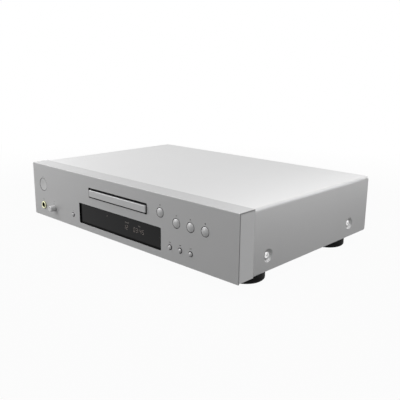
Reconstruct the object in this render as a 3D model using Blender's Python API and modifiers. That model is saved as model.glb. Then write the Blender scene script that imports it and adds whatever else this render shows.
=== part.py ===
"""A front-loading disc player, modelled piece by piece in metres.

X runs to the right as the front is faced, Y runs from front to back and Z runs up.
The origin is on the floor, under the middle of the whole player.
Most places are measured from the datum: the middle of the front plate's lower front edge.
"""
import math

import bmesh
import bpy
from mathutils import Matrix, Vector

mm = 0.001

# Whole body
body_width = 435.0 * mm
casing_depth = 294.0 * mm
plate_height = 84.3 * mm
seat_gap = 0.3 * mm
cut_overrun = 1.0 * mm
joint_overlap = 0.5 * mm
merge_reach = 0.01 * mm

# Facets of round pieces
wide_sides = 30
round_sides = 24
inner_sides = 16
small_sides = 12
tray_sides = 48
crown_steps = 2
corner_steps = 4
sharp_angle = math.radians(35.0)

# Feet and their screws
foot_height = 17.1 * mm
foot_radius = 25.2 * mm
foot_chamfer = 2.3 * mm
foot_inset = 33.5 * mm
front_foot_y = 53.0 * mm
rear_foot_inset = 51.0 * mm
foot_well_radius = 9.0 * mm
foot_well_depth = 11.0 * mm
foot_screw_radius = 1.5 * mm
foot_screw_head_radius = 3.6 * mm
foot_screw_head_height = 2.4 * mm
screw_clearance = 0.35 * mm
screw_reach = 3.0 * mm

# Front plate: a face with a lip along its top
plate_thickness = 2.0 * mm
lip_depth = 27.0 * mm
lip_thickness = 1.8 * mm
plate_edge_radius = 0.8 * mm
plate_drop = 3.0 * mm

# End caps of the front unit
cap_width = 13.0 * mm
cap_wall = 2.2 * mm
cap_rise = 1.0 * mm
cap_edge_radius = 0.6 * mm

# Moulded frame behind the front plate
subframe_wall = 1.9 * mm
board_post_radius = 3.2 * mm
board_post_inset = 28.0 * mm
board_post_drop = 6.3 * mm
pane_rail_width = 2.0 * mm
pane_rail_depth = 3.6 * mm

# Tray slot and display window in the front
tray_x = -2.5 * mm
tray_drop = 25.0 * mm
slot_height = 15.0 * mm
slot_corner_radius = 0.8 * mm
window_x = -1.4 * mm
window_width = 179.8 * mm
window_rise = 9.3 * mm
window_slot_gap = 11.8 * mm
window_corner_radius = 1.5 * mm
pane_margin = 2.0 * mm
pane_thickness = 1.5 * mm
tube_x = 8.0 * mm
tube_width = 112.0 * mm
tube_margin = 3.35 * mm
tube_depth = 5.4 * mm

# Control board with its switches
board_y = 14.0 * mm
board_thickness = 1.6 * mm
board_margin = 3.0 * mm
board_notch_margin = 7.0 * mm
board_notch_drop = 4.0 * mm
switch_width = 6.0 * mm
switch_height = 3.5 * mm

# Buttons
button_gap = 0.4 * mm
button_flange = 1.3 * mm
button_flange_thickness = 1.2 * mm
button_stem_radius = 1.8 * mm
button_travel = 1.0 * mm
power_inset = 28.0 * mm
power_radius = 10.2 * mm
power_proud = 0.5 * mm
power_dish = 0.6 * mm
upper_row_drop = 7.5 * mm
open_rise = 0.7 * mm
upper_row_shares = (0.1627, 0.3524, 0.509, 0.6656)
play_radius = 6.9 * mm
play_proud = 0.4 * mm
play_crown = 0.9 * mm
lower_row_rise = 18.2 * mm
lower_row_shares = (0.1302, 0.2717, 0.4132)
skip_radius = 3.5 * mm
skip_proud = 1.5 * mm
skip_crown = 0.3 * mm
dimmer_gap = 16.7 * mm
dimmer_radius = 3.2 * mm

# Headphone socket
jack_inset = 27.5 * mm
jack_radius = 5.5 * mm
jack_proud = 1.5 * mm
jack_bore_radius = 3.3 * mm
jack_body_width = 14.0 * mm
jack_body_depth = 31.0 * mm
jack_back_wall = 2.0 * mm

# Level knob and its potentiometer
knob_spacing = 30.0 * mm
knob_radius = 4.8 * mm
knob_length = 9.5 * mm
knob_edge = 0.5 * mm
knob_bore_radius = 3.2 * mm
knob_bore_depth = 7.0 * mm
knob_slot_width = 1.0 * mm
pot_shaft_radius = 2.8 * mm
pot_body_width = 11.0 * mm
pot_body_depth = 6.5 * mm

# Sheet metal casing
cover_thickness = 1.0 * mm
cover_radius = 3.5 * mm
cover_step_down = 0.2 * mm
cover_overlap = 0.3 * mm
panel_seam = 0.4 * mm
rear_corner_radius = 3.0 * mm
chassis_thickness = 1.0 * mm
chassis_flange_height = 40.0 * mm
chassis_front_height = 10.0 * mm
rear_panel_thickness = 1.0 * mm
rear_flange_depth = 12.0 * mm
tab_width = 18.0 * mm
tab_height = 14.0 * mm
tab_screw_drop = 8.0 * mm
tab_inset = 57.5 * mm

# Cover screws in their pressed dimples
dimple_radius = 8.6 * mm
dimple_depth = 2.0 * mm
dimple_floor_radius = 5.4 * mm
side_screw_rise = 22.1 * mm
front_side_screw_y = 54.6 * mm
rear_side_screw_inset = 48.6 * mm
side_screw_head_radius = 4.5 * mm
side_screw_head_height = 1.8 * mm
side_screw_radius = 1.9 * mm
rear_screw_head_radius = 3.6 * mm
rear_screw_head_height = 2.2 * mm
rear_screw_radius = 1.5 * mm
dome_share = 0.8

# Disc tray and its door
disc_radius = 60.0 * mm
small_disc_radius = 40.0 * mm
disc_clearance = 0.8 * mm
tray_rim = 2.2 * mm
tray_side_gap = 1.5 * mm
tray_front_margin = 7.0 * mm
tray_guided_length = 42.0 * mm
tray_travel = 135.0 * mm
tray_top_rise = 4.2 * mm
tray_plate_thickness = 5.3 * mm
disc_recess_depth = 2.5 * mm
small_recess_depth = 1.2 * mm
tray_rib_width = 2.5 * mm
tray_rib_height = 3.7 * mm
tray_slot_gap = 3.0 * mm
tray_slot_lead = 20.0 * mm
door_side_gap = 1.25 * mm
door_proud = 2.3 * mm
door_depth = 3.6 * mm
door_edge = 0.7 * mm

# Rack and drive gear
gear_module = 1.2 * mm
gear_teeth = 24
tooth_backlash_share = 0.12
root_depth_share = 1.2
tip_height_share = 0.85
tooth_slope = math.tan(math.radians(20.0))
rack_base = 1.6 * mm
gear_thickness = 2.9 * mm
gear_y = 38.0 * mm
gear_post_radius = 2.0 * mm
gear_bore_gap = 0.35 * mm
belt_wheel_radius = 11.0 * mm
belt_wheel_height = 3.4 * mm
belt_flange = 1.0 * mm

# Loading motor, its pulley and the belt
motor_spacing = 46.0 * mm
motor_radius = 11.5 * mm
motor_height = 14.0 * mm
motor_shaft_radius = 1.0 * mm
motor_boss_radius = 3.0 * mm
motor_boss_height = 1.5 * mm
pulley_radius = 3.6 * mm
pulley_flange = 1.0 * mm
belt_thickness = 1.0 * mm
belt_width = 1.1 * mm

# Loader frame
loader_wall = 3.0 * mm
loader_front_y = 20.0 * mm
loader_rear_margin = 6.0 * mm
loader_height = 36.3 * mm
loader_floor_thickness = 2.0 * mm
loader_deck_gap = 3.1 * mm
loader_deck_thickness = 2.0 * mm
loader_deck_depth = 31.0 * mm
loader_end_step = 2.0 * mm
ledge_width = 5.0 * mm
ledge_height = 2.0 * mm
guide_width = 1.5 * mm
guide_height = 1.5 * mm
loader_leg_width = 12.0 * mm
floor_opening_margin = 8.0 * mm
bearing_post_width = 5.0 * mm
bearing_post_depth = 11.0 * mm
stop_half_width = 6.0 * mm
stop_grip = 3.0 * mm

# Traverse: the plate that lifts the spindle and the laser to the disc
traverse_width = 50.0 * mm
traverse_thickness = 2.5 * mm
traverse_front_lead = 17.0 * mm
pivot_margin = 20.0 * mm
pivot_drop = 5.0 * mm
pivot_pin_radius = 2.0 * mm
pivot_ear_length = 9.0 * mm
pivot_ear_back = 5.0 * mm
traverse_lift = 5.0 * mm
playing_rise = 2.0 * mm
seat_above_traverse = 6.0 * mm
traverse_rail = 3.5 * mm
sled_window_start = 17.0 * mm
rod_block_depth = 4.0 * mm
rod_block_height = 4.2 * mm
rod_block_drop = 1.5 * mm
rod_radius = 1.5 * mm
rod_inset = 3.5 * mm
rod_gap = 0.3 * mm
rod_end_wall = 1.2 * mm

# Spindle motor and turntable
spindle_radius = 11.0 * mm
spindle_height = 7.0 * mm
spindle_shaft_radius = 1.0 * mm
turntable_radius = 14.5 * mm
turntable_thickness = 2.2 * mm
turntable_hub_radius = 4.0 * mm
cone_radius = 7.4 * mm
cone_tip_radius = 5.6 * mm
cone_height = 2.3 * mm

# Laser sled
sled_side_gap = 1.0 * mm
sled_length = 24.0 * mm
sled_height = 6.4 * mm
sled_lead = 18.5 * mm
sled_travel = 34.0 * mm
sled_end_gap = 2.5 * mm
lens_lead = 24.0 * mm
lens_radius = 3.6 * mm
lens_height = 0.7 * mm

# Clamp bridge and clamper
bridge_thickness = 2.5 * mm
bridge_depth = 44.0 * mm
bridge_rise = 1.5 * mm
bridge_beam_width = 3.0 * mm
bridge_beam_inset = 1.0 * mm
bridge_beam_height = 3.0 * mm
clamper_hole_radius = 12.5 * mm
clamper_radius = 11.5 * mm
clamper_flange_radius = 15.5 * mm
clamper_flange_thickness = 2.0 * mm
clamper_pad_gap = 1.0 * mm
clamper_recess_radius = 8.6 * mm
clamper_recess_depth = 2.6 * mm

# Main board and what is soldered to it
main_board_left_inset = 20.0 * mm
main_board_right_inset = 10.0 * mm
main_board_gap = 8.0 * mm
main_board_rise = 9.0 * mm
capacitor_count = 4
standoff_radius = 3.0 * mm
standoff_inset = 7.0 * mm
capacitor_radius = 8.0 * mm
capacitor_height = 26.0 * mm
capacitor_spacing = 24.0 * mm
chip_width = 22.0 * mm
chip_height = 3.0 * mm

# Mains transformer
transformer_width = 62.0 * mm
transformer_depth = 52.0 * mm
transformer_height = 44.0 * mm
transformer_inset = 58.0 * mm
transformer_gap = 38.0 * mm
coil_overhang = 7.0 * mm
coil_share = 0.62

# Sockets on the back
phono_radius = 4.6 * mm
phono_length = 9.0 * mm
phono_collar_radius = 6.0 * mm
phono_collar_length = 1.4 * mm
phono_body_width = 12.0 * mm
phono_body_depth = 12.0 * mm
phono_pin_hole_radius = 1.7 * mm
phono_pin_hole_depth = 7.0 * mm
phono_rise = 30.0 * mm
phono_inset = 60.0 * mm
phono_spacing = 20.0 * mm
coaxial_inset = 112.0 * mm
optical_inset = 136.0 * mm
optical_width = 9.6 * mm
optical_proud = 2.0 * mm
optical_body_width = 13.0 * mm
inlet_inset = 62.0 * mm
inlet_rise = 32.0 * mm
inlet_width = 28.0 * mm
inlet_height = 20.0 * mm
inlet_flange = 2.0 * mm
inlet_flange_thickness = 1.6 * mm
inlet_body_depth = 20.0 * mm
inlet_wall = 2.2 * mm
inlet_well_depth = 13.0 * mm
inlet_pin_radius = 1.2 * mm
inlet_pin_spacing = 12.0 * mm

# Sizes worked out from those above
half_width = body_width / 2
chassis_under = plate_drop
floor_top = chassis_under + chassis_thickness
casing_front = lip_depth + panel_seam
cover_top = plate_height - cover_step_down
cover_base = chassis_under - cover_overlap
cover_ceiling = cover_top - cover_thickness
chassis_half = half_width - cover_thickness - dimple_depth - seat_gap
tab_front = casing_depth - cover_thickness
rear_panel_back = tab_front - seat_gap
rear_panel_front = rear_panel_back - rear_panel_thickness
chassis_rear = rear_panel_front - seat_gap
subframe_front = plate_thickness + seat_gap
subframe_back = subframe_front + subframe_wall
subframe_half = half_width - cap_width - seat_gap
lip_under = plate_height - lip_thickness
behind_subframe = subframe_back + seat_gap
tray_z = plate_height - tray_drop
tray_half = disc_radius + disc_clearance + tray_rim
slot_width = 2 * (tray_half + tray_side_gap)
window_height = tray_z - slot_height / 2 - window_slot_gap - window_rise
window_z = window_rise + window_height / 2
tube_height = window_height - 2 * tube_margin
upper_row = tray_z - upper_row_drop
lower_row = lower_row_rise
slot_side = tray_x + slot_width / 2
window_side = window_x + window_width / 2
power_x = power_inset - half_width
jack_x = jack_inset - half_width
knob_x = jack_x + knob_spacing
dimmer_x = window_x - window_width / 2 - dimmer_gap
open_x, play_x, pause_x, stop_x = [
    slot_side + share * (half_width - slot_side) for share in upper_row_shares
]
skip_back_x, skip_forward_x, repeat_x = [
    window_side + share * (half_width - window_side) for share in lower_row_shares
]
board_half = subframe_half - subframe_wall - board_margin
board_base = cap_rise + subframe_wall + board_margin
board_top = lip_under - seat_gap - subframe_wall - board_margin
board_post_rise = board_top - board_post_drop

# Tray and loader, from front to back and from bottom to top
door_front = -door_proud
door_back = door_front + door_depth
tray_front = door_back + seat_gap
disc_y = tray_front + tray_front_margin + disc_radius
tray_back = tray_front + tray_travel + tray_guided_length
tray_top = tray_z + tray_top_rise
tray_under = tray_top - tray_plate_thickness
rib_base = tray_under - tray_rib_height
disc_floor = tray_top - disc_recess_depth
loader_back = tray_back + loader_rear_margin
loader_inner_half = tray_half + joint_overlap
loader_half = loader_inner_half + loader_wall
ledge_top = rib_base - seat_gap
guide_base = tray_top + seat_gap
loader_top = guide_base + guide_height
loader_floor_rise = loader_top - loader_height
gear_pitch_radius = gear_module * gear_teeth / 2
rack_root_x = tray_rib_width + rack_base - tray_half
rack_pitch_x = rack_root_x + gear_module + merge_reach
gear_x = rack_pitch_x + gear_pitch_radius
gear_base = tray_under - seat_gap - gear_thickness
belt_wheel_top = gear_base
belt_wheel_base = belt_wheel_top - belt_wheel_height
deck_top = belt_wheel_base - loader_deck_gap
loader_deck_rise = deck_top - loader_deck_thickness
loader_end_rise = deck_top + loader_end_step
motor_x = gear_x + motor_spacing
play_seat = disc_floor + playing_rise
traverse_top = play_seat - seat_above_traverse
pivot_distance = loader_back - pivot_margin - disc_y
pivot_y = disc_y + pivot_distance
pivot_z = traverse_top - traverse_thickness / 2 - pivot_drop
lift_angle = math.asin(traverse_lift / pivot_distance)
traverse_reach = pivot_distance + traverse_front_lead
traverse_low_front = (
    pivot_z
    + (pivot_drop - traverse_thickness / 2) * math.cos(lift_angle)
    - traverse_reach * math.sin(lift_angle)
)
sled_window_width = traverse_width - 2 * traverse_rail
sled_width = sled_window_width - 2 * sled_side_gap
rod_spacing = sled_window_width - 2 * rod_inset
sled_window_length = sled_lead - sled_window_start + sled_length + sled_travel + sled_end_gap
bridge_base = loader_top + bridge_rise
bridge_top = bridge_base + bridge_thickness
main_board_under = floor_top + main_board_rise
main_board_front = loader_back + main_board_gap
main_board_back = rear_panel_front - rear_flange_depth - seat_gap

# Depth of the whole player, which puts the origin under its middle
front_reach = knob_length
rear_reach = rear_panel_back + phono_length
face_y = (front_reach - rear_reach) / 2
plate_base = foot_height + seat_gap - plate_drop

# Turns that face a piece made along Z another way
facing_up = (0.0, 0.0, 0.0)
facing_front = (math.pi / 2, 0.0, 0.0)
facing_back = (-math.pi / 2, 0.0, 0.0)
facing_right = (0.0, math.pi / 2, 0.0)
facing_left = (0.0, -math.pi / 2, 0.0)
section_across = Matrix(((0, 0, 1), (1, 0, 0), (0, 1, 0))).to_euler()
section_along = Matrix(((1, 0, 0), (0, 0, -1), (0, 1, 0))).to_euler()


def clear_scene():
    """Remove everything, so that the player stands alone."""
    for old in list(bpy.data.objects):
        bpy.data.objects.remove(old, do_unlink=True)


def new_collection(name):
    """A collection in the scene."""
    collection = bpy.data.collections.new(name)
    bpy.context.scene.collection.children.link(collection)
    return collection


def finish(name, colour, roughness, metallic=0.0, alpha=1.0):
    """A plain material for one piece."""
    material = bpy.data.materials.new(name)
    material.use_nodes = True
    shader = material.node_tree.nodes["Principled BSDF"]
    shader.inputs["Base Color"].default_value = (*colour, 1.0)
    shader.inputs["Roughness"].default_value = roughness
    shader.inputs["Metallic"].default_value = metallic
    shader.inputs["Alpha"].default_value = alpha
    return material


clear_scene()
parts = new_collection("cd_player")
cutters = new_collection("cutters")

# The colours and surfaces of the pieces
looks = {
    "silver_plate": ((0.44, 0.44, 0.45), 0.35, 0.9),
    "silver_plastic": ((0.36, 0.36, 0.37), 0.45, 0.0),
    "silver_paint": ((0.60, 0.60, 0.61), 0.45, 0.1),
    "silver_button": ((0.42, 0.42, 0.43), 0.35, 0.3),
    "zinc_steel": ((0.50, 0.50, 0.50), 0.40, 0.8),
    "black_steel": ((0.03, 0.03, 0.03), 0.45, 0.2),
    "bright_steel": ((0.65, 0.65, 0.65), 0.25, 1.0),
    "black_plastic": ((0.015, 0.015, 0.016), 0.5, 0.0),
    "grey_plastic": ((0.10, 0.10, 0.105), 0.5, 0.0),
    "white_plastic": ((0.70, 0.70, 0.68), 0.5, 0.0),
    "smoked_pane": ((0.01, 0.01, 0.011), 0.12, 0.0),
    "tube_glass": ((0.03, 0.035, 0.035), 0.15, 0.0),
    "board_green": ((0.02, 0.10, 0.04), 0.5, 0.0),
    "gold": ((0.80, 0.62, 0.30), 0.25, 1.0),
    "black_rubber": ((0.012, 0.012, 0.012), 0.8, 0.0),
    "copper_coil": ((0.45, 0.20, 0.06), 0.5, 0.2),
}


def add_object(name, mesh, place, turn, parent, cutter):
    """Link a mesh as a piece, or as a cutter that is not part of the player."""
    piece = bpy.data.objects.new(name, mesh)
    if cutter:
        cutters.objects.link(piece)
        piece.hide_render = True
        piece.display_type = "WIRE"
    else:
        parts.objects.link(piece)
    piece.parent = parent
    piece.location = place
    piece.rotation_euler = turn
    return piece


def block(name, low, high, parent, cutter=False):
    """A box between two corners."""
    low = Vector(low)
    high = Vector(high)
    bm = bmesh.new()
    bmesh.ops.create_cube(bm, size=1.0, matrix=Matrix.Diagonal((*(high - low), 1.0)))
    mesh = bpy.data.meshes.new(name)
    bm.to_mesh(mesh)
    bm.free()
    return add_object(name, mesh, (low + high) / 2, facing_up, parent, cutter)


def rod(name, start, length, radius, turn, parent, cutter=False, sides=small_sides):
    """A round bar that starts at a point and runs the way that the turn faces."""
    bm = bmesh.new()
    bmesh.ops.create_cone(
        bm, cap_ends=True, segments=sides, radius1=radius, radius2=radius, depth=length,
        matrix=Matrix.Translation((0.0, 0.0, length / 2)),
    )
    mesh = bpy.data.meshes.new(name)
    bm.to_mesh(mesh)
    bm.free()
    mesh.shade_smooth()
    mesh.set_sharp_from_angle(angle=sharp_angle)
    return add_object(name, mesh, start, turn, parent, cutter)


def bake(piece):
    """Turn a piece with its modifiers, or a curve, into a welded mesh in the same place."""
    bpy.context.view_layer.update()
    depsgraph = bpy.context.evaluated_depsgraph_get()
    mesh = bpy.data.meshes.new_from_object(piece.evaluated_get(depsgraph))
    bm = bmesh.new()
    bm.from_mesh(mesh)
    bmesh.ops.remove_doubles(bm, verts=bm.verts, dist=merge_reach)
    bm.to_mesh(mesh)
    bm.free()
    mesh.shade_smooth()
    mesh.set_sharp_from_angle(angle=sharp_angle)
    return mesh


def turned(name, profile, place, turn, parent, cutter=False, closed=False, sides=round_sides):
    """A turned piece: points of radius and height, run down its outer side."""
    mesh = bpy.data.meshes.new(name + "_profile")
    edges = [(i, i + 1) for i in range(len(profile) - 1)]
    if closed:
        edges.append((len(profile) - 1, 0))
    mesh.from_pydata([(radius, 0.0, height) for radius, height in profile], edges, [])
    outline = add_object(name + "_profile", mesh, place, turn, parent, True)
    screw = outline.modifiers.new("turn", "SCREW")
    screw.steps = sides
    screw.render_steps = sides
    screw.use_merge_vertices = True
    screw.merge_threshold = merge_reach
    solid = bake(outline)
    bpy.data.objects.remove(outline, do_unlink=True)
    return add_object(name, solid, place, turn, parent, cutter)


def flat_shape(name, outlines, thickness, place, turn, parent, cutter=False):
    """A flat piece cut to closed outlines, of which the inner ones are holes."""
    curve = bpy.data.curves.new(name + "_outline", "CURVE")
    curve.dimensions = "2D"
    curve.fill_mode = "BOTH"
    curve.extrude = thickness / 2
    for outline in outlines:
        spline = curve.splines.new("POLY")
        spline.points.add(len(outline) - 1)
        for point, (across, up) in zip(spline.points, outline):
            point.co = (across, up, 0.0, 1.0)
        spline.use_cyclic_u = True
    drawn = add_object(name + "_outline", curve, place, turn, parent, True)
    solid = bake(drawn)
    bpy.data.objects.remove(drawn, do_unlink=True)
    return add_object(name, solid, place, turn, parent, cutter)


def arc(centre, radius, start, end, steps=corner_steps):
    """Points of a round corner, with its ends, between two angles in degrees."""
    points = []
    for i in range(steps + 1):
        angle = math.radians(start + (end - start) * i / steps)
        points.append((centre[0] + radius * math.cos(angle), centre[1] + radius * math.sin(angle)))
    return points


def rounded_rectangle(width, height, radius):
    """The outline of a rectangle about the origin with round corners."""
    across = width / 2 - radius
    up = height / 2 - radius
    return (
        arc((across, up), radius, 0, 90)
        + arc((-across, up), radius, 90, 180)
        + arc((-across, -up), radius, 180, 270)
        + arc((across, -up), radius, 270, 360)
    )


def shifted(outline, across, up):
    """An outline moved in its own plane."""
    return [(x + across, y + up) for x, y in outline]


def change(piece, others, operation):
    """Cut pieces out of a piece, or join them to it."""
    for other in others:
        modifier = piece.modifiers.new(operation.lower(), "BOOLEAN")
        modifier.operation = operation
        modifier.solver = "EXACT"
        modifier.object = other


def cut(piece, *others):
    change(piece, others, "DIFFERENCE")


def join(piece, *others):
    change(piece, others, "UNION")


def round_edges(piece, width, segments=2):
    """Round the sharp edges of a piece."""
    bevel = piece.modifiers.new("round", "BEVEL")
    bevel.width = width
    bevel.segments = segments
    bevel.limit_method = "ANGLE"
    bevel.angle_limit = sharp_angle


def paint(piece, look):
    """Give a piece a material of its own."""
    colour, roughness, metallic = looks[look]
    piece.data.materials.clear()
    piece.data.materials.append(finish(piece.name + "_" + look, colour, roughness, metallic))
    return piece


def add_empty(name, place, turn, parent):
    """A point that carries pieces."""
    empty = bpy.data.objects.new(name, None)
    parts.objects.link(empty)
    empty.parent = parent
    empty.location = place
    empty.rotation_euler = turn
    return empty


datum = add_empty("datum", (0.0, face_y, plate_base), facing_up, None)


# Buttons: where each is, how wide its hole is, how far it stands out and how it is crowned
button_table = [
    ("power_button", power_x, upper_row, power_radius, power_proud, -power_dish),
    ("open_button", open_x, tray_z + open_rise, play_radius, play_proud, play_crown),
    ("play_button", play_x, upper_row, play_radius, play_proud, play_crown),
    ("pause_button", pause_x, upper_row, play_radius, play_proud, play_crown),
    ("stop_button", stop_x, upper_row, play_radius, play_proud, play_crown),
    ("skip_back_button", skip_back_x, lower_row, skip_radius, skip_proud, skip_crown),
    ("skip_forward_button", skip_forward_x, lower_row, skip_radius, skip_proud, skip_crown),
    ("repeat_button", repeat_x, lower_row, skip_radius, skip_proud, skip_crown),
    ("dimmer_button", dimmer_x, lower_row, dimmer_radius, skip_proud, skip_crown),
]


def front_holes(name, depth_start, depth, sides):
    """One cutter for all that passes through the front, from one depth to another."""
    outlines = [
        shifted(rounded_rectangle(slot_width, slot_height, slot_corner_radius), tray_x, tray_z),
        shifted(rounded_rectangle(window_width, window_height, window_corner_radius), window_x, window_z),
        arc((jack_x, lower_row), jack_radius + seat_gap, 0, 360, sides)[1:],
        arc((knob_x, lower_row), pot_shaft_radius + seat_gap, 0, 360, sides)[1:],
    ]
    for button, x, z, radius, proud, crown in button_table:
        outlines.append(arc((x, z), radius, 0, 360, sides)[1:])
    middle = depth_start + depth / 2
    return flat_shape(name, outlines, depth, (0.0, middle, 0.0), section_along, datum, True)


def make_front_plate():
    """The extruded face with its lip along the top."""
    corner = (plate_edge_radius, plate_height - plate_edge_radius)
    section = [
        (0.0, 0.0),
        (plate_thickness, 0.0),
        (plate_thickness, lip_under),
        (lip_depth, lip_under),
        (lip_depth, plate_height),
    ]
    section += arc(corner, plate_edge_radius, 90, 180)
    plate = flat_shape("front_plate", [section], body_width, (0.0, 0.0, 0.0), section_across, datum)
    hole_depth = plate_thickness + 2 * cut_overrun
    cut(plate, front_holes("plate_holes", -cut_overrun, hole_depth, round_sides))
    paint(plate, "silver_plate")


def make_end_cap(name, side):
    """A hollow moulding that closes one end of the front unit."""
    inner = half_width - cap_width
    low_x, high_x = sorted((side * inner, side * half_width))
    cap = block(name, (low_x, subframe_front, cap_rise), (high_x, lip_depth, lip_under - seat_gap), datum)
    round_edges(cap, cap_edge_radius)
    low_x, high_x = sorted((side * (inner - cut_overrun), side * (half_width - cap_wall)))
    hollow = block(
        name + "_hollow",
        (low_x, subframe_front + cap_wall, cap_rise + cap_wall),
        (high_x, lip_depth + cut_overrun, lip_under - seat_gap - cap_wall),
        datum, True,
    )
    cut(cap, hollow)
    paint(cap, "silver_plastic")


def make_subframe():
    """The moulded frame that guides the buttons and holds the window and the board."""
    top = lip_under - seat_gap
    frame = block("front_subframe", (-subframe_half, subframe_front, cap_rise),
                  (subframe_half, lip_depth, top), datum)
    hollow = block(
        "subframe_hollow",
        (subframe_wall - subframe_half, subframe_back, cap_rise + subframe_wall),
        (subframe_half - subframe_wall, lip_depth + cut_overrun, top - subframe_wall),
        datum, True,
    )
    cut(frame, hollow)
    pane_half = window_width / 2 + pane_margin + seat_gap
    pane_reach = window_height / 2 + pane_margin + seat_gap
    rail_start = subframe_back - joint_overlap
    rail_end = subframe_back + pane_rail_depth
    for name, low_z in (("lower", window_z - pane_reach - pane_rail_width), ("upper", window_z + pane_reach)):
        rail = block(
            "pane_rail_" + name,
            (window_x - pane_half, rail_start, low_z),
            (window_x + pane_half, rail_end, low_z + pane_rail_width),
            datum, True,
        )
        join(frame, rail)
    post_length = board_y - seat_gap - rail_start
    for x in (board_post_inset - board_half, board_half - board_post_inset):
        for z in (board_base + board_post_radius, board_post_rise):
            post = rod("board_post", (x, rail_start, z), post_length, board_post_radius,
                       facing_back, datum, True)
            join(frame, post)
    hole_depth = subframe_wall + 2 * cut_overrun
    cut(frame, front_holes("subframe_holes", subframe_front - cut_overrun, hole_depth, inner_sides))
    paint(frame, "black_plastic")


def make_button(name, x, z, hole_radius, proud, crown):
    """A cap with a flange behind the frame and a stem that reaches for its switch."""
    radius = hole_radius - button_gap
    profile = []
    for i in range(crown_steps + 1):
        share = i / crown_steps
        profile.append((radius * share, proud + crown * (1 - share * share)))
    flange_radius = hole_radius + button_flange
    flange_back = -behind_subframe - button_flange_thickness
    stem_end = button_travel + seat_gap + switch_height - board_y
    profile += [
        (radius, -behind_subframe),
        (flange_radius, -behind_subframe),
        (flange_radius, flange_back),
        (button_stem_radius, flange_back),
        (button_stem_radius, stem_end),
        (0.0, stem_end),
    ]
    button = turned(name, profile, (x, 0.0, z), facing_front, datum)
    paint(button, "silver_button")


def make_display():
    """The smoked pane in its rails and the lit tube behind it."""
    outline = rounded_rectangle(window_width + 2 * pane_margin, window_height + 2 * pane_margin,
                                window_corner_radius)
    middle = behind_subframe + pane_thickness / 2
    pane = flat_shape("display_window", [outline], pane_thickness, (window_x, middle, window_z),
                      section_along, datum)
    paint(pane, "smoked_pane")
    tube_back = board_y - seat_gap
    tube = block(
        "display_tube",
        (tube_x - tube_width / 2, tube_back - tube_depth, window_z - tube_height / 2),
        (tube_x + tube_width / 2, tube_back, window_z + tube_height / 2),
        datum,
    )
    paint(tube, "tube_glass")


def make_control_board():
    """The board behind the front, with a notch under the tray and a switch behind each button."""
    notch_half = slot_width / 2 + board_notch_margin
    notch_base = tray_z - slot_height / 2 - board_notch_drop
    outline = [
        (-board_half, board_base),
        (board_half, board_base),
        (board_half, board_top),
        (tray_x + notch_half, board_top),
        (tray_x + notch_half, notch_base),
        (tray_x - notch_half, notch_base),
        (tray_x - notch_half, board_top),
        (-board_half, board_top),
    ]
    middle = board_y + board_thickness / 2
    board = flat_shape("control_board", [outline], board_thickness, (0.0, middle, 0.0), section_along, datum)
    half_switch = switch_width / 2
    for name, x, z, radius, proud, crown in button_table:
        switch = block(
            name + "_switch",
            (x - half_switch, board_y - switch_height, z - half_switch),
            (x + half_switch, board_y + board_thickness / 2, z + half_switch),
            datum, True,
        )
        join(board, switch)
    half_jack = jack_body_width / 2 + seat_gap
    jack_gap = block(
        "board_jack_gap",
        (jack_x - half_jack, board_y - cut_overrun, lower_row - half_jack),
        (jack_x + half_jack, board_y + board_thickness + cut_overrun, lower_row + half_jack),
        datum, True,
    )
    cut(board, jack_gap)
    paint(board, "board_green")


def make_headphone_socket():
    """The gold bush in the plate and the socket body behind it."""
    bush = turned(
        "headphone_bush",
        [
            (jack_bore_radius, jack_proud),
            (jack_radius - knob_edge, jack_proud),
            (jack_radius, jack_proud - knob_edge),
            (jack_radius, -behind_subframe),
            (jack_bore_radius, -behind_subframe),
        ],
        (jack_x, 0.0, lower_row), facing_front, datum, closed=True,
    )
    paint(bush, "gold")
    front = behind_subframe + seat_gap
    half = jack_body_width / 2
    body = block(
        "headphone_socket",
        (jack_x - half, front, lower_row - half),
        (jack_x + half, front + jack_body_depth, lower_row + half),
        datum,
    )
    bore = rod("jack_bore", (jack_x, front - cut_overrun, lower_row),
               jack_body_depth - jack_back_wall + cut_overrun, jack_bore_radius,
               facing_back, datum, True, round_sides)
    cut(body, bore)
    paint(body, "black_plastic")


def make_level_control():
    """The knob on the shaft of its potentiometer, which is soldered to the board."""
    knob = turned(
        "level_knob",
        [
            (0.0, knob_length),
            (knob_radius - knob_edge, knob_length),
            (knob_radius, knob_length - knob_edge),
            (knob_radius, seat_gap),
            (knob_bore_radius, seat_gap),
            (knob_bore_radius, knob_bore_depth),
            (0.0, knob_bore_depth),
        ],
        (knob_x, 0.0, lower_row), facing_front, datum,
    )
    pointer = block(
        "knob_pointer",
        (knob_x - knob_slot_width / 2, -knob_length - cut_overrun, lower_row + knob_radius / 2),
        (knob_x + knob_slot_width / 2, knob_slot_width - knob_length, lower_row + knob_radius + cut_overrun),
        datum, True,
    )
    cut(knob, pointer)
    paint(knob, "silver_button")
    half = pot_body_width / 2
    body_back = board_y - seat_gap
    pot = block(
        "level_potentiometer",
        (knob_x - half, body_back - pot_body_depth, lower_row - half),
        (knob_x + half, body_back, lower_row + half),
        datum,
    )
    shaft_front = seat_gap - knob_bore_depth
    shaft = rod("pot_shaft", (knob_x, shaft_front, lower_row),
                body_back - pot_body_depth / 2 - shaft_front, pot_shaft_radius, facing_back, datum, True)
    join(pot, shaft)
    paint(pot, "zinc_steel")


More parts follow.
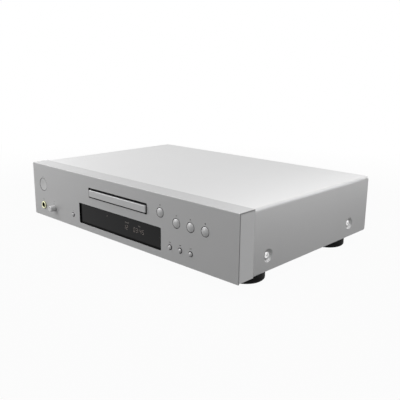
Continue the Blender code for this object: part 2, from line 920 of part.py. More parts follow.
def make_foot(name, x, y):
    """A round foot with a well for its screw, under the chassis floor."""
    hole = foot_screw_radius + screw_clearance
    top = foot_height
    foot = turned(
        "foot_" + name,
        [
            (hole, top),
            (foot_radius, top),
            (foot_radius, foot_chamfer),
            (foot_radius - foot_chamfer, 0.0),
            (foot_well_radius, 0.0),
            (foot_well_radius, foot_well_depth),
            (hole, foot_well_depth),
        ],
        (x, face_y + y, 0.0), facing_up, None, closed=True, sides=wide_sides,
    )
    paint(foot, "black_rubber")
    head_top = foot_well_depth - seat_gap
    screw = turned(
        "foot_screw_" + name,
        [
            (0.0, foot_height + seat_gap + chassis_thickness + screw_reach),
            (foot_screw_radius, foot_height + seat_gap + chassis_thickness + screw_reach),
            (foot_screw_radius, head_top),
            (foot_screw_head_radius, head_top),
            (foot_screw_head_radius, head_top - foot_screw_head_height / 2),
            (foot_screw_head_radius / 2, head_top - foot_screw_head_height),
            (0.0, head_top - foot_screw_head_height),
        ],
        (x, face_y + y, 0.0), facing_up, None, sides=small_sides,
    )
    paint(screw, "bright_steel")


foot_places = [
    ("front_left", foot_inset - half_width, front_foot_y),
    ("front_right", half_width - foot_inset, front_foot_y),
    ("rear_left", foot_inset - half_width, casing_depth - rear_foot_inset),
    ("rear_right", half_width - foot_inset, casing_depth - rear_foot_inset),
]
side_screw_places = [
    ("front_left", -1, front_side_screw_y),
    ("front_right", 1, front_side_screw_y),
    ("rear_left", -1, casing_depth - rear_side_screw_inset),
    ("rear_right", 1, casing_depth - rear_side_screw_inset),
]
tab_places = [("left", tab_inset - half_width), ("middle", 0.0), ("right", half_width - tab_inset)]
main_board_left = main_board_left_inset - chassis_half + transformer_inset + transformer_width
main_board_right = chassis_half - main_board_right_inset
standoff_places = [
    (x, y)
    for x in (main_board_left + standoff_inset, main_board_right - standoff_inset)
    for y in (main_board_front + standoff_inset, main_board_back - standoff_inset)
]


def make_chassis():
    """The folded floor, with flanges for the cover screws and standoffs for the main board."""
    inner = chassis_half - chassis_thickness
    section = [
        (-chassis_half, chassis_under),
        (chassis_half, chassis_under),
        (chassis_half, chassis_flange_height),
        (inner, chassis_flange_height),
        (inner, floor_top),
        (-inner, floor_top),
        (-inner, chassis_flange_height),
        (-chassis_half, chassis_flange_height),
    ]
    middle = (casing_front + chassis_rear) / 2
    chassis = flat_shape("bottom_chassis", [section], chassis_rear - casing_front, (0.0, middle, 0.0),
                         section_along, datum)
    front_flange = block(
        "chassis_front_flange",
        (-subframe_half, casing_front, chassis_under + chassis_thickness / 2),
        (subframe_half, casing_front + chassis_thickness, chassis_front_height),
        datum, True,
    )
    join(chassis, front_flange)
    for x, y in standoff_places:
        post = rod("board_standoff", (x, y, chassis_under + chassis_thickness / 2),
                   main_board_under - seat_gap - chassis_under - chassis_thickness / 2,
                   standoff_radius, facing_up, datum, True)
        join(chassis, post)
    for name, x, y in foot_places:
        hole = rod("foot_hole_" + name, (x, y, chassis_under - cut_overrun),
                   chassis_thickness + 2 * cut_overrun, foot_screw_radius + screw_clearance,
                   facing_up, datum, True)
        cut(chassis, hole)
    for name, side, y in side_screw_places:
        turn = facing_right if side > 0 else facing_left
        hole = rod("side_hole_" + name, (side * (inner - cut_overrun), y, side_screw_rise),
                   chassis_thickness + 2 * cut_overrun, side_screw_radius + screw_clearance,
                   turn, datum, True)
        cut(chassis, hole)
    paint(chassis, "zinc_steel")


def make_cover():
    """The folded cover: a top and two sides, pressed dimples and tabs over the back."""
    inner_radius = cover_radius - cover_thickness
    inner_half = half_width - cover_thickness
    outer = (half_width - cover_radius, cover_top - cover_radius)
    section = [(half_width, cover_base)]
    section += arc(outer, cover_radius, 0, 90)
    section += arc((-outer[0], outer[1]), cover_radius, 90, 180)
    section += [(-half_width, cover_base), (-inner_half, cover_base)]
    section += arc((-outer[0], outer[1]), inner_radius, 180, 90)
    section += arc(outer, inner_radius, 90, 0)
    section += [(inner_half, cover_base)]
    middle = (casing_front + casing_depth) / 2
    cover = flat_shape("top_cover", [section], casing_depth - casing_front, (0.0, middle, 0.0),
                       section_along, datum)
    corner = (casing_depth - rear_corner_radius, cover_base + rear_corner_radius)
    waste = [
        (corner[0], cover_base - cut_overrun),
        (casing_depth + cut_overrun, cover_base - cut_overrun),
        (casing_depth + cut_overrun, corner[1]),
    ]
    waste += arc(corner, rear_corner_radius, 0, -90)
    cut(cover, flat_shape("cover_corner", [waste], body_width + 2 * cut_overrun, (0.0, 0.0, 0.0),
                          section_across, datum, True))
    for name, x in tab_places:
        tab = block(
            "cover_tab_" + name,
            (x - tab_width / 2, tab_front, cover_top - tab_height),
            (x + tab_width / 2, casing_depth, cover_top - cover_thickness / 2),
            datum, True,
        )
        join(cover, tab)
        hole = rod("tab_hole_" + name, (x, tab_front - cut_overrun, cover_top - tab_screw_drop),
                   cover_thickness + 2 * cut_overrun, rear_screw_radius + screw_clearance,
                   facing_back, datum, True)
        cut(cover, hole)
    for name, side, y in side_screw_places:
        turn = facing_right if side > 0 else facing_left
        boss = turned(
            "dimple_boss_" + name,
            [
                (0.0, dimple_depth + cover_thickness / 2),
                (dimple_radius + cover_thickness, dimple_depth + cover_thickness / 2),
                (dimple_radius + cover_thickness, dimple_depth),
                (dimple_floor_radius + cover_thickness, 0.0),
                (0.0, 0.0),
            ],
            (side * (inner_half - dimple_depth), y, side_screw_rise), turn, datum, True,
        )
        join(cover, boss)
        well = turned(
            "dimple_well_" + name,
            [
                (0.0, dimple_depth + cut_overrun),
                (dimple_radius, dimple_depth + cut_overrun),
                (dimple_radius, dimple_depth),
                (dimple_floor_radius, 0.0),
                (0.0, 0.0),
            ],
            (side * (half_width - dimple_depth), y, side_screw_rise), turn, datum, True,
        )
        cut(cover, well)
        hole_start = (side * (inner_half - dimple_depth - cut_overrun), y, side_screw_rise)
        hole = rod("cover_hole_" + name, hole_start, cover_thickness + 2 * cut_overrun,
                   side_screw_radius + screw_clearance, turn, datum, True)
        cut(cover, hole)
    paint(cover, "silver_paint")


def make_side_screw(name, side, y):
    """A raised countersunk screw that holds the cover to the chassis."""
    turn = facing_right if side > 0 else facing_left
    reach = cover_thickness + seat_gap + chassis_thickness + screw_reach
    screw = turned(
        "side_screw_" + name,
        [
            (0.0, side_screw_head_height),
            (side_screw_head_radius / 2, side_screw_head_height * dome_share),
            (side_screw_head_radius, seat_gap * 2),
            (side_screw_head_radius, seat_gap),
            (side_screw_radius, seat_gap),
            (side_screw_radius, -reach),
            (0.0, -reach),
        ],
        (side * (half_width - dimple_depth), y, side_screw_rise), turn, datum, sides=small_sides,
    )
    paint(screw, "bright_steel")


def make_rear_screw(name, x):
    """A round-headed screw through a tab of the cover."""
    reach = cover_thickness + seat_gap + rear_panel_thickness + screw_reach
    screw = turned(
        "rear_screw_" + name,
        [
            (0.0, rear_screw_head_height),
            (rear_screw_head_radius / 2, rear_screw_head_height * dome_share),
            (rear_screw_head_radius, seat_gap * 2),
            (rear_screw_head_radius, seat_gap),
            (rear_screw_radius, seat_gap),
            (rear_screw_radius, -reach),
            (0.0, -reach),
        ],
        (x, casing_depth, cover_top - tab_screw_drop), facing_back, datum, sides=small_sides,
    )
    paint(screw, "bright_steel")


# Sockets on the back, from the right as the front is faced
phono_places = [
    ("phono_socket_right", half_width - phono_inset),
    ("phono_socket_left", half_width - phono_inset - phono_spacing),
    ("coaxial_socket", half_width - coaxial_inset),
]
optical_x = half_width - optical_inset
inlet_x = inlet_inset - half_width


def make_rear_panel():
    """The back, with a foot along the floor and holes for the sockets and screws."""
    panel = block("rear_panel", (-chassis_half, rear_panel_front, chassis_under),
                  (chassis_half, rear_panel_back, cover_ceiling - seat_gap), datum)
    foot_half = chassis_half - chassis_thickness - seat_gap
    foot_base = floor_top + seat_gap
    foot = block(
        "rear_panel_foot",
        (-foot_half, rear_panel_front - rear_flange_depth, foot_base),
        (foot_half, rear_panel_front + rear_panel_thickness / 2, foot_base + rear_panel_thickness),
        datum, True,
    )
    join(panel, foot)
    hole_start = rear_panel_front - cut_overrun
    hole_length = rear_panel_thickness + 2 * cut_overrun
    for name, x in phono_places:
        cut(panel, rod(name + "_hole", (x, hole_start, phono_rise), hole_length,
                       phono_radius + screw_clearance, facing_back, datum, True))
    for name, x in tab_places:
        cut(panel, rod("panel_hole_" + name, (x, hole_start, cover_top - tab_screw_drop), hole_length,
                       rear_screw_radius + screw_clearance, facing_back, datum, True))
    half_optical = optical_width / 2 + screw_clearance
    half_inlet = inlet_width / 2 + screw_clearance
    half_tall = inlet_height / 2 + screw_clearance
    hole_end = hole_start + hole_length
    cut(panel, block("optical_hole", (optical_x - half_optical, hole_start, phono_rise - half_optical),
                     (optical_x + half_optical, hole_end, phono_rise + half_optical), datum, True))
    cut(panel, block("inlet_hole", (inlet_x - half_inlet, hole_start, inlet_rise - half_tall),
                     (inlet_x + half_inlet, hole_end, inlet_rise + half_tall), datum, True))
    paint(panel, "zinc_steel")


def make_phono_socket(name, x):
    """A phono socket: a barrel through the back and a body that stands on the board."""
    origin_y = rear_panel_back
    inside = rear_panel_thickness + seat_gap
    barrel = turned(
        name,
        [
            (phono_pin_hole_radius, phono_length),
            (phono_radius, phono_length),
            (phono_radius, phono_collar_length + seat_gap),
            (phono_collar_radius, phono_collar_length + seat_gap),
            (phono_collar_radius, seat_gap),
            (phono_radius, seat_gap),
            (phono_radius, -inside - joint_overlap),
            (0.0, -inside - joint_overlap),
            (0.0, phono_length - phono_pin_hole_depth),
            (phono_pin_hole_radius, phono_length - phono_pin_hole_depth),
        ],
        (x, origin_y, phono_rise), facing_back, datum, closed=True, sides=inner_sides,
    )
    half = phono_body_width / 2
    body = block(
        name + "_body",
        (x - half, origin_y - inside - phono_body_depth, main_board_under + board_thickness + seat_gap),
        (x + half, origin_y - inside, phono_rise + half),
        datum, True,
    )
    join(barrel, body)
    paint(barrel, "gold")


def make_optical_socket():
    """A square optical outlet with its dust plug in place."""
    inside = rear_panel_front - seat_gap
    half = optical_width / 2
    half_body = optical_body_width / 2
    outlet = block("optical_socket", (optical_x - half, inside - joint_overlap, phono_rise - half),
                   (optical_x + half, rear_panel_back + optical_proud, phono_rise + half), datum)
    body = block(
        "optical_body",
        (optical_x - half_body, inside - phono_body_depth, main_board_under + board_thickness + seat_gap),
        (optical_x + half_body, inside, phono_rise + half_body),
        datum, True,
    )
    join(outlet, body)
    paint(outlet, "black_plastic")


def make_mains_inlet():
    """A two-pin mains inlet, set in the back from outside."""
    back = rear_panel_back + seat_gap + inlet_flange_thickness
    half = inlet_width / 2
    tall = inlet_height / 2
    inlet = block("mains_inlet", (inlet_x - half, rear_panel_front - inlet_body_depth, inlet_rise - tall),
                  (inlet_x + half, back - inlet_flange_thickness / 2, inlet_rise + tall), datum)
    flange = block(
        "inlet_rim",
        (inlet_x - half - inlet_flange, rear_panel_back + seat_gap, inlet_rise - tall - inlet_flange),
        (inlet_x + half + inlet_flange, back, inlet_rise + tall + inlet_flange),
        datum, True,
    )
    join(inlet, flange)
    well = block(
        "inlet_well",
        (inlet_x - half + inlet_wall, back - inlet_well_depth, inlet_rise - tall + inlet_wall),
        (inlet_x + half - inlet_wall, back + cut_overrun, inlet_rise + tall - inlet_wall),
        datum, True,
    )
    cut(inlet, well)
    for side in (-1, 1):
        pin_root = back - inlet_well_depth - joint_overlap
        pin = rod("inlet_pin", (inlet_x + side * inlet_pin_spacing / 2, pin_root, inlet_rise),
                  inlet_well_depth - inlet_flange_thickness, inlet_pin_radius, facing_back, datum, True)
        join(inlet, pin)
    paint(inlet, "black_plastic")


def make_main_board():
    """The main board on its standoffs, with its tall capacitors and a processor."""
    top = main_board_under + board_thickness
    board = block("main_board", (main_board_left, main_board_front, main_board_under),
                  (main_board_right, main_board_back, top), datum)
    middle_y = (main_board_front + main_board_back) / 2
    root_z = main_board_under + board_thickness / 2
    for i in range(capacitor_count):
        x = main_board_left + standoff_inset + (i + 1) * capacitor_spacing
        capacitor = rod("capacitor", (x, middle_y, root_z), capacitor_height, capacitor_radius,
                        facing_up, datum, True)
        join(board, capacitor)
    chip_x = main_board_right - standoff_inset - capacitor_spacing
    chip = block("chip", (chip_x - chip_width, middle_y - chip_width / 2, root_z),
                 (chip_x, middle_y + chip_width / 2, top + chip_height), datum, True)
    join(board, chip)
    paint(board, "board_green")


def make_transformer():
    """The mains transformer: a stack of laminations with its coil."""
    left = transformer_inset - half_width
    back = rear_panel_front - transformer_gap
    low = (left, back - transformer_depth + coil_overhang, floor_top + seat_gap)
    high = (left + transformer_width, back - coil_overhang, floor_top + seat_gap + transformer_height)
    core = block("transformer", low, high, datum)
    half_coil = transformer_width * coil_share / 2
    half_tall = transformer_height * coil_share / 2
    middle_x = left + transformer_width / 2
    middle_z = floor_top + seat_gap + transformer_height / 2
    coil = block(
        "transformer_coil",
        (middle_x - half_coil, back - transformer_depth, middle_z - half_tall),
        (middle_x + half_coil, back, middle_z + half_tall),
        datum, True,
    )
    join(core, coil)
    paint(core, "black_steel")


# The tray runs straight out of the front, carried by a point in its mouth
tray_carrier = add_empty("tray_carrier", (tray_x, 0.0, 0.0), facing_up, datum)


def rack_outline():
    """The left rib of the tray with the rack's teeth on its inner side."""
    pitch = math.pi * gear_module
    half_tooth = pitch / 4 * (1 - tooth_backlash_share)
    slope = gear_module * tooth_slope
    first = math.ceil((tray_front + pitch - gear_y) / pitch)
    last = math.floor((tray_back - pitch - gear_y) / pitch)
    points = [(-tray_half, tray_front), (rack_root_x, tray_front)]
    for i in range(first, last + 1):
        middle = gear_y + i * pitch
        points += [
            (rack_root_x, middle - half_tooth - slope),
            (rack_pitch_x + gear_module, middle - half_tooth + slope),
            (rack_pitch_x + gear_module, middle + half_tooth - slope),
            (rack_root_x, middle + half_tooth + slope),
        ]
    points += [(rack_root_x, tray_back), (-tray_half, tray_back)]
    return points


def make_tray():
    """The sliding tray, with a recess for the disc and a slot open to the back."""
    tray = block("disc_tray", (-tray_half, tray_front, tray_under), (tray_half, tray_back, tray_top),
                 tray_carrier)
    rib_overlap = joint_overlap
    rib_height = tray_rib_height + rib_overlap
    rack = flat_shape("tray_rack", [rack_outline()], rib_height, (0.0, 0.0, rib_base + rib_height / 2),
                      facing_up, tray_carrier, True)
    rib = block("tray_rib", (tray_half - tray_rib_width, tray_front, rib_base),
                (tray_half, tray_back, tray_under + rib_overlap), tray_carrier, True)
    join(tray, rack, rib)
    recess = rod("disc_recess", (0.0, disc_y, disc_floor), disc_recess_depth + cut_overrun,
                 disc_radius + disc_clearance, facing_up, tray_carrier, True, tray_sides)
    small_recess = rod("small_disc_recess", (0.0, disc_y, disc_floor - small_recess_depth),
                       small_recess_depth + cut_overrun, small_disc_radius + disc_clearance,
                       facing_up, tray_carrier, True, tray_sides)
    half_slot = traverse_width / 2 + tray_slot_gap
    slot = block("tray_slot", (-half_slot, disc_y - tray_slot_lead, rib_base - cut_overrun),
                 (half_slot, tray_back + cut_overrun, tray_top + cut_overrun), tray_carrier, True)
    cut(tray, recess, small_recess, slot)
    paint(tray, "grey_plastic")
    half_door = slot_width / 2 - door_side_gap
    tall = slot_height / 2 - door_side_gap
    door = block("tray_door", (-half_door, door_front, tray_z - tall), (half_door, door_back, tray_z + tall),
                 tray_carrier)
    round_edges(door, door_edge)
    paint(door, "silver_plate")


def make_loader_frame():
    """The moulded frame that guides the tray and holds the gear, the motor and the traverse."""
    frame = block("loader_frame", (-loader_half, loader_front_y, loader_floor_rise),
                  (loader_half, loader_back, loader_top), tray_carrier)
    floor = loader_floor_rise + loader_floor_thickness
    inner_back = loader_back - loader_wall
    inner_front = loader_front_y + loader_wall
    hollow = block("loader_hollow", (-loader_inner_half, inner_front, floor),
                   (loader_inner_half, inner_back, loader_top + cut_overrun), tray_carrier, True)
    ends = block("loader_ends", (-loader_inner_half, loader_front_y - cut_overrun, loader_end_rise),
                 (loader_inner_half, loader_back + cut_overrun, loader_top + cut_overrun), tray_carrier, True)
    opening_half = traverse_width / 2 + floor_opening_margin / 2
    opening_front = loader_front_y + loader_deck_depth + floor_opening_margin
    opening = block(
        "loader_floor_opening",
        (-opening_half, opening_front, loader_floor_rise - cut_overrun),
        (opening_half, pivot_y - bearing_post_depth, floor + cut_overrun),
        tray_carrier, True,
    )
    cut(frame, hollow, ends, opening)
    wall_grip = loader_inner_half + loader_wall / 2
    deck = block(
        "loader_deck",
        (-wall_grip, loader_front_y + loader_wall / 2, loader_deck_rise),
        (wall_grip, loader_front_y + loader_deck_depth, deck_top),
        tray_carrier, True,
    )
    join(frame, deck)
    for side in (-1, 1):
        low_x, high_x = sorted((side * (loader_inner_half - ledge_width), side * wall_grip))
        ledge = block("tray_ledge", (low_x, loader_front_y, ledge_top - ledge_height),
                      (high_x, loader_back, ledge_top), tray_carrier, True)
        low_x, high_x = sorted((side * (loader_inner_half - guide_width), side * wall_grip))
        guide = block("tray_guide", (low_x, loader_front_y, guide_base),
                      (high_x, loader_back, loader_top), tray_carrier, True)
        low_x, high_x = sorted((side * (traverse_width / 2 + seat_gap),
                                side * (traverse_width / 2 + seat_gap + bearing_post_width)))
        post = block(
            "bearing_post",
            (low_x, pivot_y - bearing_post_depth / 2, floor - loader_floor_thickness / 2),
            (high_x, pivot_y + bearing_post_depth / 2, pivot_z + bearing_post_width),
            tray_carrier, True,
        )
        join(frame, ledge, guide, post)
        for y in (casing_front + chassis_thickness + seat_gap, loader_back - loader_leg_width):
            low_x, high_x = sorted((side * (loader_half - loader_leg_width), side * loader_half))
            leg = block(
                "loader_leg",
                (low_x, y, floor_top + seat_gap),
                (high_x, y + loader_leg_width, loader_floor_rise + loader_floor_thickness / 2),
                tray_carrier, True,
            )
            join(frame, leg)
    axle_reach = traverse_width + 2 * (bearing_post_width + seat_gap + cut_overrun)
    axle = rod("bearing_bore", (-axle_reach / 2, pivot_y, pivot_z), axle_reach,
               pivot_pin_radius + seat_gap, facing_right, tray_carrier, True)
    shaft_hole = rod("motor_shaft_hole", (motor_x, gear_y, loader_deck_rise - cut_overrun),
                     loader_deck_thickness + 2 * cut_overrun, motor_boss_radius + seat_gap,
                     facing_up, tray_carrier, True)
    cut(frame, axle, shaft_hole)
    post_base = deck_top - loader_deck_thickness / 2
    gear_post = rod("gear_post", (gear_x, gear_y, post_base), gear_base + gear_thickness - post_base,
                    gear_post_radius, facing_up, tray_carrier, True)
    gear_shoulder = rod("gear_shoulder", (gear_x, gear_y, post_base), belt_wheel_base - seat_gap - post_base,
                        gear_post_radius * 2, facing_up, tray_carrier, True)
    join(frame, gear_post, gear_shoulder)
    stop_top = traverse_low_front - seat_gap
    stop_y = disc_y - traverse_front_lead
    deck_back = loader_front_y + loader_deck_depth
    stop = block(
        "traverse_stop",
        (-stop_half_width, deck_back - joint_overlap, stop_top - loader_deck_thickness),
        (stop_half_width, stop_y + stop_grip, stop_top),
        tray_carrier, True,
    )
    join(frame, stop)
    paint(frame, "black_plastic")


def gear_outline():
    """The drive gear's teeth, one of them pointing straight at the rack."""
    outline = []
    pitch_angle = 2 * math.pi / gear_teeth
    half_tooth = math.pi * gear_module / 4 * (1 - tooth_backlash_share)
    slope = gear_module * tooth_slope
    root = gear_pitch_radius - gear_module * root_depth_share
    tip = gear_pitch_radius + gear_module * tip_height_share
    for i in range(gear_teeth):
        middle = math.pi + (i + 0.5) * pitch_angle
        for radius, half in (
            (root, half_tooth + slope),
            (tip, half_tooth - slope),
            (tip, slope - half_tooth),
            (root, -half_tooth - slope),
        ):
            angle = middle - math.asin(half / radius)
            outline.append((radius * math.cos(angle), radius * math.sin(angle)))
    return outline


def groove_profile(bore, radius, flange, base, top):
    """A grooved wheel with a bore, as radius and height run down its outer side."""
    rim = (top - base) / 5
    return [
        (bore, top),
        (radius + flange, top),
        (radius + flange, top - rim),
        (radius, top - 2 * rim),
        (radius, base + 2 * rim),
        (radius + flange, base + rim),
        (radius + flange, base),
        (bore, base),
    ]


def make_tray_drive():
    """The drive gear with its belt wheel, the belt, the pulley and the loading motor."""
    bore = gear_post_radius + gear_bore_gap
    gear_middle = gear_base + gear_thickness / 2
    gear = flat_shape("drive_gear", [gear_outline()], gear_thickness, (gear_x, gear_y, gear_middle),
                      facing_up, tray_carrier)
    wheel = turned(
        "belt_wheel", groove_profile(bore, belt_wheel_radius, belt_flange, belt_wheel_base,
                                     belt_wheel_top + joint_overlap),
        (gear_x, gear_y, 0.0), facing_up, tray_carrier, True, closed=True,
    )
    join(gear, wheel)
    cut(gear, rod("gear_bore", (gear_x, gear_y, belt_wheel_base - cut_overrun),
                  gear_thickness + belt_wheel_height + 2 * cut_overrun, bore, facing_up, tray_carrier, True))
    paint(gear, "white_plastic")
    pulley_top = belt_wheel_top + joint_overlap
    pulley = turned(
        "motor_pulley", groove_profile(motor_shaft_radius + seat_gap, pulley_radius, pulley_flange,
                                       belt_wheel_base, pulley_top),
        (motor_x, gear_y, 0.0), facing_up, tray_carrier, closed=True, sides=small_sides,
    )
    paint(pulley, "white_plastic")
    belt_inner = belt_loop(belt_wheel_radius + seat_gap, pulley_radius + seat_gap)
    belt_outer = belt_loop(belt_wheel_radius + seat_gap + belt_thickness,
                           pulley_radius + seat_gap + belt_thickness)
    belt_z = (belt_wheel_base + pulley_top) / 2
    belt = flat_shape("loading_belt", [belt_outer, belt_inner], belt_width,
                      (gear_x, gear_y, belt_z), facing_up, tray_carrier)
    paint(belt, "black_rubber")
    motor_top = loader_deck_rise - seat_gap
    motor = turned(
        "loading_motor",
        [
            (0.0, pulley_top + seat_gap),
            (motor_shaft_radius, pulley_top + seat_gap),
            (motor_shaft_radius, motor_top + motor_boss_height),
            (motor_boss_radius, motor_top + motor_boss_height),
            (motor_boss_radius, motor_top),
            (motor_radius, motor_top),
            (motor_radius, motor_top - motor_height),
            (0.0, motor_top - motor_height),
        ],
        (motor_x, gear_y, 0.0), facing_up, tray_carrier,
    )
    paint(motor, "zinc_steel")


def belt_loop(large, small):
    """The outline of a belt round a large wheel at the origin and a small one beside it."""
    lean = math.degrees(math.acos((large - small) / motor_spacing))
    return (
        arc((0.0, 0.0), large, lean, 360 - lean, 20)
        + arc((motor_spacing, 0.0), small, -lean, lean, 10)
    )


# The traverse turns about its pins; at rest its front end is down on its stop
pivot = add_empty("traverse_pivot", (0.0, pivot_y, pivot_z), (lift_angle, 0.0, 0.0), tray_carrier)
level_top = traverse_top - pivot_z
spindle_y = -pivot_distance


def make_traverse():
    """The traverse plate with its hinge pins and the blocks that hold the guide rods."""
    under = level_top - traverse_thickness
    half = traverse_width / 2
    front = spindle_y - traverse_front_lead
    plate = block("traverse_frame", (-half, front, under), (half, pivot_ear_back, level_top), pivot)
    window_start = spindle_y + sled_window_start
    window_end = window_start + sled_window_length
    half_window = sled_window_width / 2
    window = block("sled_window", (-half_window, window_start, under - cut_overrun),
                   (half_window, window_end, level_top + cut_overrun), pivot, True)
    cut(plate, window)
    rod_level = level_top - traverse_thickness / 2
    for y in (window_start - rod_block_depth, window_end):
        holder = block("rod_block", (-half_window, y, under - rod_block_drop),
                       (half_window, y + rod_block_depth, rod_level + rod_block_height / 2),
                       pivot, True)
        join(plate, holder)
    for side in (-1, 1):
        low_x, high_x = sorted((side * (half - bearing_post_width), side * half))
        ear = block("pivot_ear", (low_x, -pivot_ear_length / 2, -pivot_ear_length / 2),
                    (high_x, pivot_ear_back, level_top - traverse_thickness / 2), pivot, True)
        join(plate, ear)
        pin_turn = facing_right if side > 0 else facing_left
        pin = rod("pivot_pin", (side * (half - bearing_post_width / 2), 0.0, 0.0),
                  bearing_post_width * 1.5, pivot_pin_radius, pin_turn, pivot, True)
        join(plate, pin)
    spindle_hole = rod("spindle_hole", (0.0, spindle_y, under - cut_overrun),
                       traverse_thickness + 2 * cut_overrun, turntable_hub_radius, facing_up, pivot, True)
    cut(plate, spindle_hole)
    rod_start = window_start - rod_block_depth + rod_end_wall
    rod_length = sled_window_length + 2 * (rod_block_depth - rod_end_wall)
    for name, side in (("left", -1), ("right", 1)):
        rod_x = side * rod_spacing / 2
        bore = rod("rod_bore", (rod_x, rod_start - rod_gap, rod_level), rod_length + 2 * rod_gap,
                   rod_radius + rod_gap, facing_back, pivot, True)
        cut(plate, bore)
        guide = rod("guide_rod_" + name, (rod_x, rod_start, rod_level), rod_length, rod_radius,
                    facing_back, pivot)
        paint(guide, "bright_steel")


def make_spindle():
    """The spindle motor under the traverse and the turntable on its shaft."""
    under = level_top - traverse_thickness - seat_gap
    seat = play_seat - pivot_z
    shaft_top = seat - turntable_thickness / 2
    motor = turned(
        "spindle_motor",
        [
            (0.0, shaft_top),
            (spindle_shaft_radius, shaft_top),
            (spindle_shaft_radius, under),
            (spindle_radius, under),
            (spindle_radius, under - spindle_height),
            (0.0, under - spindle_height),
        ],
        (0.0, spindle_y, 0.0), facing_up, pivot,
    )
    paint(motor, "zinc_steel")
    bore = spindle_shaft_radius + seat_gap
    hub_base = level_top + seat_gap
    table = turned(
        "turntable",
        [
            (0.0, seat + cone_height),
            (cone_tip_radius, seat + cone_height),
            (cone_radius, seat),
            (turntable_radius, seat),
            (turntable_radius, seat - turntable_thickness),
            (turntable_hub_radius, seat - turntable_thickness),
            (turntable_hub_radius, hub_base),
            (bore, hub_base),
            (bore, shaft_top + seat_gap),
            (0.0, shaft_top + seat_gap),
        ],
        (0.0, spindle_y, 0.0), facing_up, pivot,
    )
    paint(table, "grey_plastic")


def make_sled():
    """The sled that carries the laser on its two rods, at its inner end."""
    half = sled_width / 2
    front = spindle_y + sled_lead
    rod_level = level_top - traverse_thickness / 2
    middle_z = rod_level
    sled = block("laser_sled", (-half, front, middle_z - sled_height / 2),
                 (half, front + sled_length, middle_z + sled_height / 2), pivot)
    lens = rod("laser_lens", (0.0, spindle_y + lens_lead, middle_z), sled_height / 2 + lens_height,
               lens_radius, facing_up, pivot, True)
    join(sled, lens)
    for side in (-1, 1):
        bore = rod("sled_bore", (side * rod_spacing / 2, front - cut_overrun, rod_level),
                   sled_length + 2 * cut_overrun, rod_radius + rod_gap, facing_back, pivot, True)
        cut(sled, bore)
    paint(sled, "black_plastic")


def make_clamp():
    """The bridge over the tray and the clamper that hangs in it."""
    half = loader_half
    inner = loader_half - loader_wall
    foot_base = loader_top + seat_gap
    section = [
        (-half, foot_base),
        (-inner, foot_base),
        (-inner, bridge_base),
        (inner, bridge_base),
        (inner, foot_base),
        (half, foot_base),
        (half, bridge_top),
        (-half, bridge_top),
    ]
    bridge = flat_shape("clamp_bridge", [section], bridge_depth, (0.0, disc_y, 0.0), section_along,
                        tray_carrier)
    beam_base = bridge_base + bridge_thickness / 2
    for side in (-1, 1):
        outer_y = side * (bridge_depth / 2 - bridge_beam_inset)
        low_y, high_y = sorted((outer_y, outer_y - side * bridge_beam_width))
        beam = block("bridge_beam", (-inner, disc_y + low_y, beam_base),
                     (inner, disc_y + high_y, bridge_top + bridge_beam_height), tray_carrier, True)
        join(bridge, beam)
    hole = rod("clamper_hole", (0.0, disc_y, bridge_base - cut_overrun), bridge_thickness + 2 * cut_overrun,
               clamper_hole_radius, facing_up, tray_carrier, True, round_sides)
    cut(bridge, hole)
    paint(bridge, "zinc_steel")
    pad = play_seat + clamper_pad_gap
    flange_base = bridge_top + seat_gap
    clamper = turned(
        "clamper",
        [
            (0.0, flange_base + clamper_flange_thickness),
            (clamper_flange_radius, flange_base + clamper_flange_thickness),
            (clamper_flange_radius, flange_base),
            (clamper_radius, flange_base),
            (clamper_radius, pad),
            (clamper_recess_radius, pad),
            (clamper_recess_radius, pad + clamper_recess_depth),
            (0.0, pad + clamper_recess_depth),
        ],
        (0.0, disc_y, 0.0), facing_up, tray_carrier,
    )
    paint(clamper, "white_plastic")


make_front_plate()
make_end_cap("end_cap_left", -1)
make_end_cap("end_cap_right", 1)
make_subframe()
for button_row in button_table:
    make_button(*button_row)
make_display()
make_control_board()
make_headphone_socket()
make_level_control()
for foot_row in foot_places:
    make_foot(*foot_row)
make_chassis()
make_cover()
for screw_row in side_screw_places:
    make_side_screw(*screw_row)
for screw_row in tab_places:
    make_rear_screw(*screw_row)
make_rear_panel()
for socket_row in phono_places:
    make_phono_socket(*socket_row)
make_optical_socket()
make_mains_inlet()
make_main_board()
make_transformer()
make_tray()
make_loader_frame()
make_tray_drive()
make_traverse()
make_spindle()
make_sled()
make_clamp()
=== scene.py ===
"""The looks of a front-loading disc player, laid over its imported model.

X runs to the right as the front is faced, Y to the back and Z up, in metres.
Sizes are measured from the datum, the middle of the front plate's lower front edge.
"""
import math
import bmesh
import bpy
from mathutils import Euler, Matrix, Vector


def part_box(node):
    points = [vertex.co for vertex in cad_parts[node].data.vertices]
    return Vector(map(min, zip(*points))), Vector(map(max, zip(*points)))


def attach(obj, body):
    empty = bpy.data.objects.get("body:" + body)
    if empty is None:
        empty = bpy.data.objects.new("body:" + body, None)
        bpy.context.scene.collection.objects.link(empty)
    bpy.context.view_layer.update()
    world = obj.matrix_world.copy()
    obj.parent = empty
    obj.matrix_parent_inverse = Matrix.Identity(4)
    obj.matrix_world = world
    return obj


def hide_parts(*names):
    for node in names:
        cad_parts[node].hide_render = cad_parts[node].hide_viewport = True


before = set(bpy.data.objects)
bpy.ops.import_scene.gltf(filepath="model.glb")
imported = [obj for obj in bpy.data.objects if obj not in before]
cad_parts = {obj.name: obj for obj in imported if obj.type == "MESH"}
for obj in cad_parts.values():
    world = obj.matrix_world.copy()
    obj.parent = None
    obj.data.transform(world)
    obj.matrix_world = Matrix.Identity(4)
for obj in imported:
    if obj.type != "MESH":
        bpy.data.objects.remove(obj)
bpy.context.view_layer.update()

mm = 0.001
datum = Vector((0.0, -146.1, 14.4)) * mm

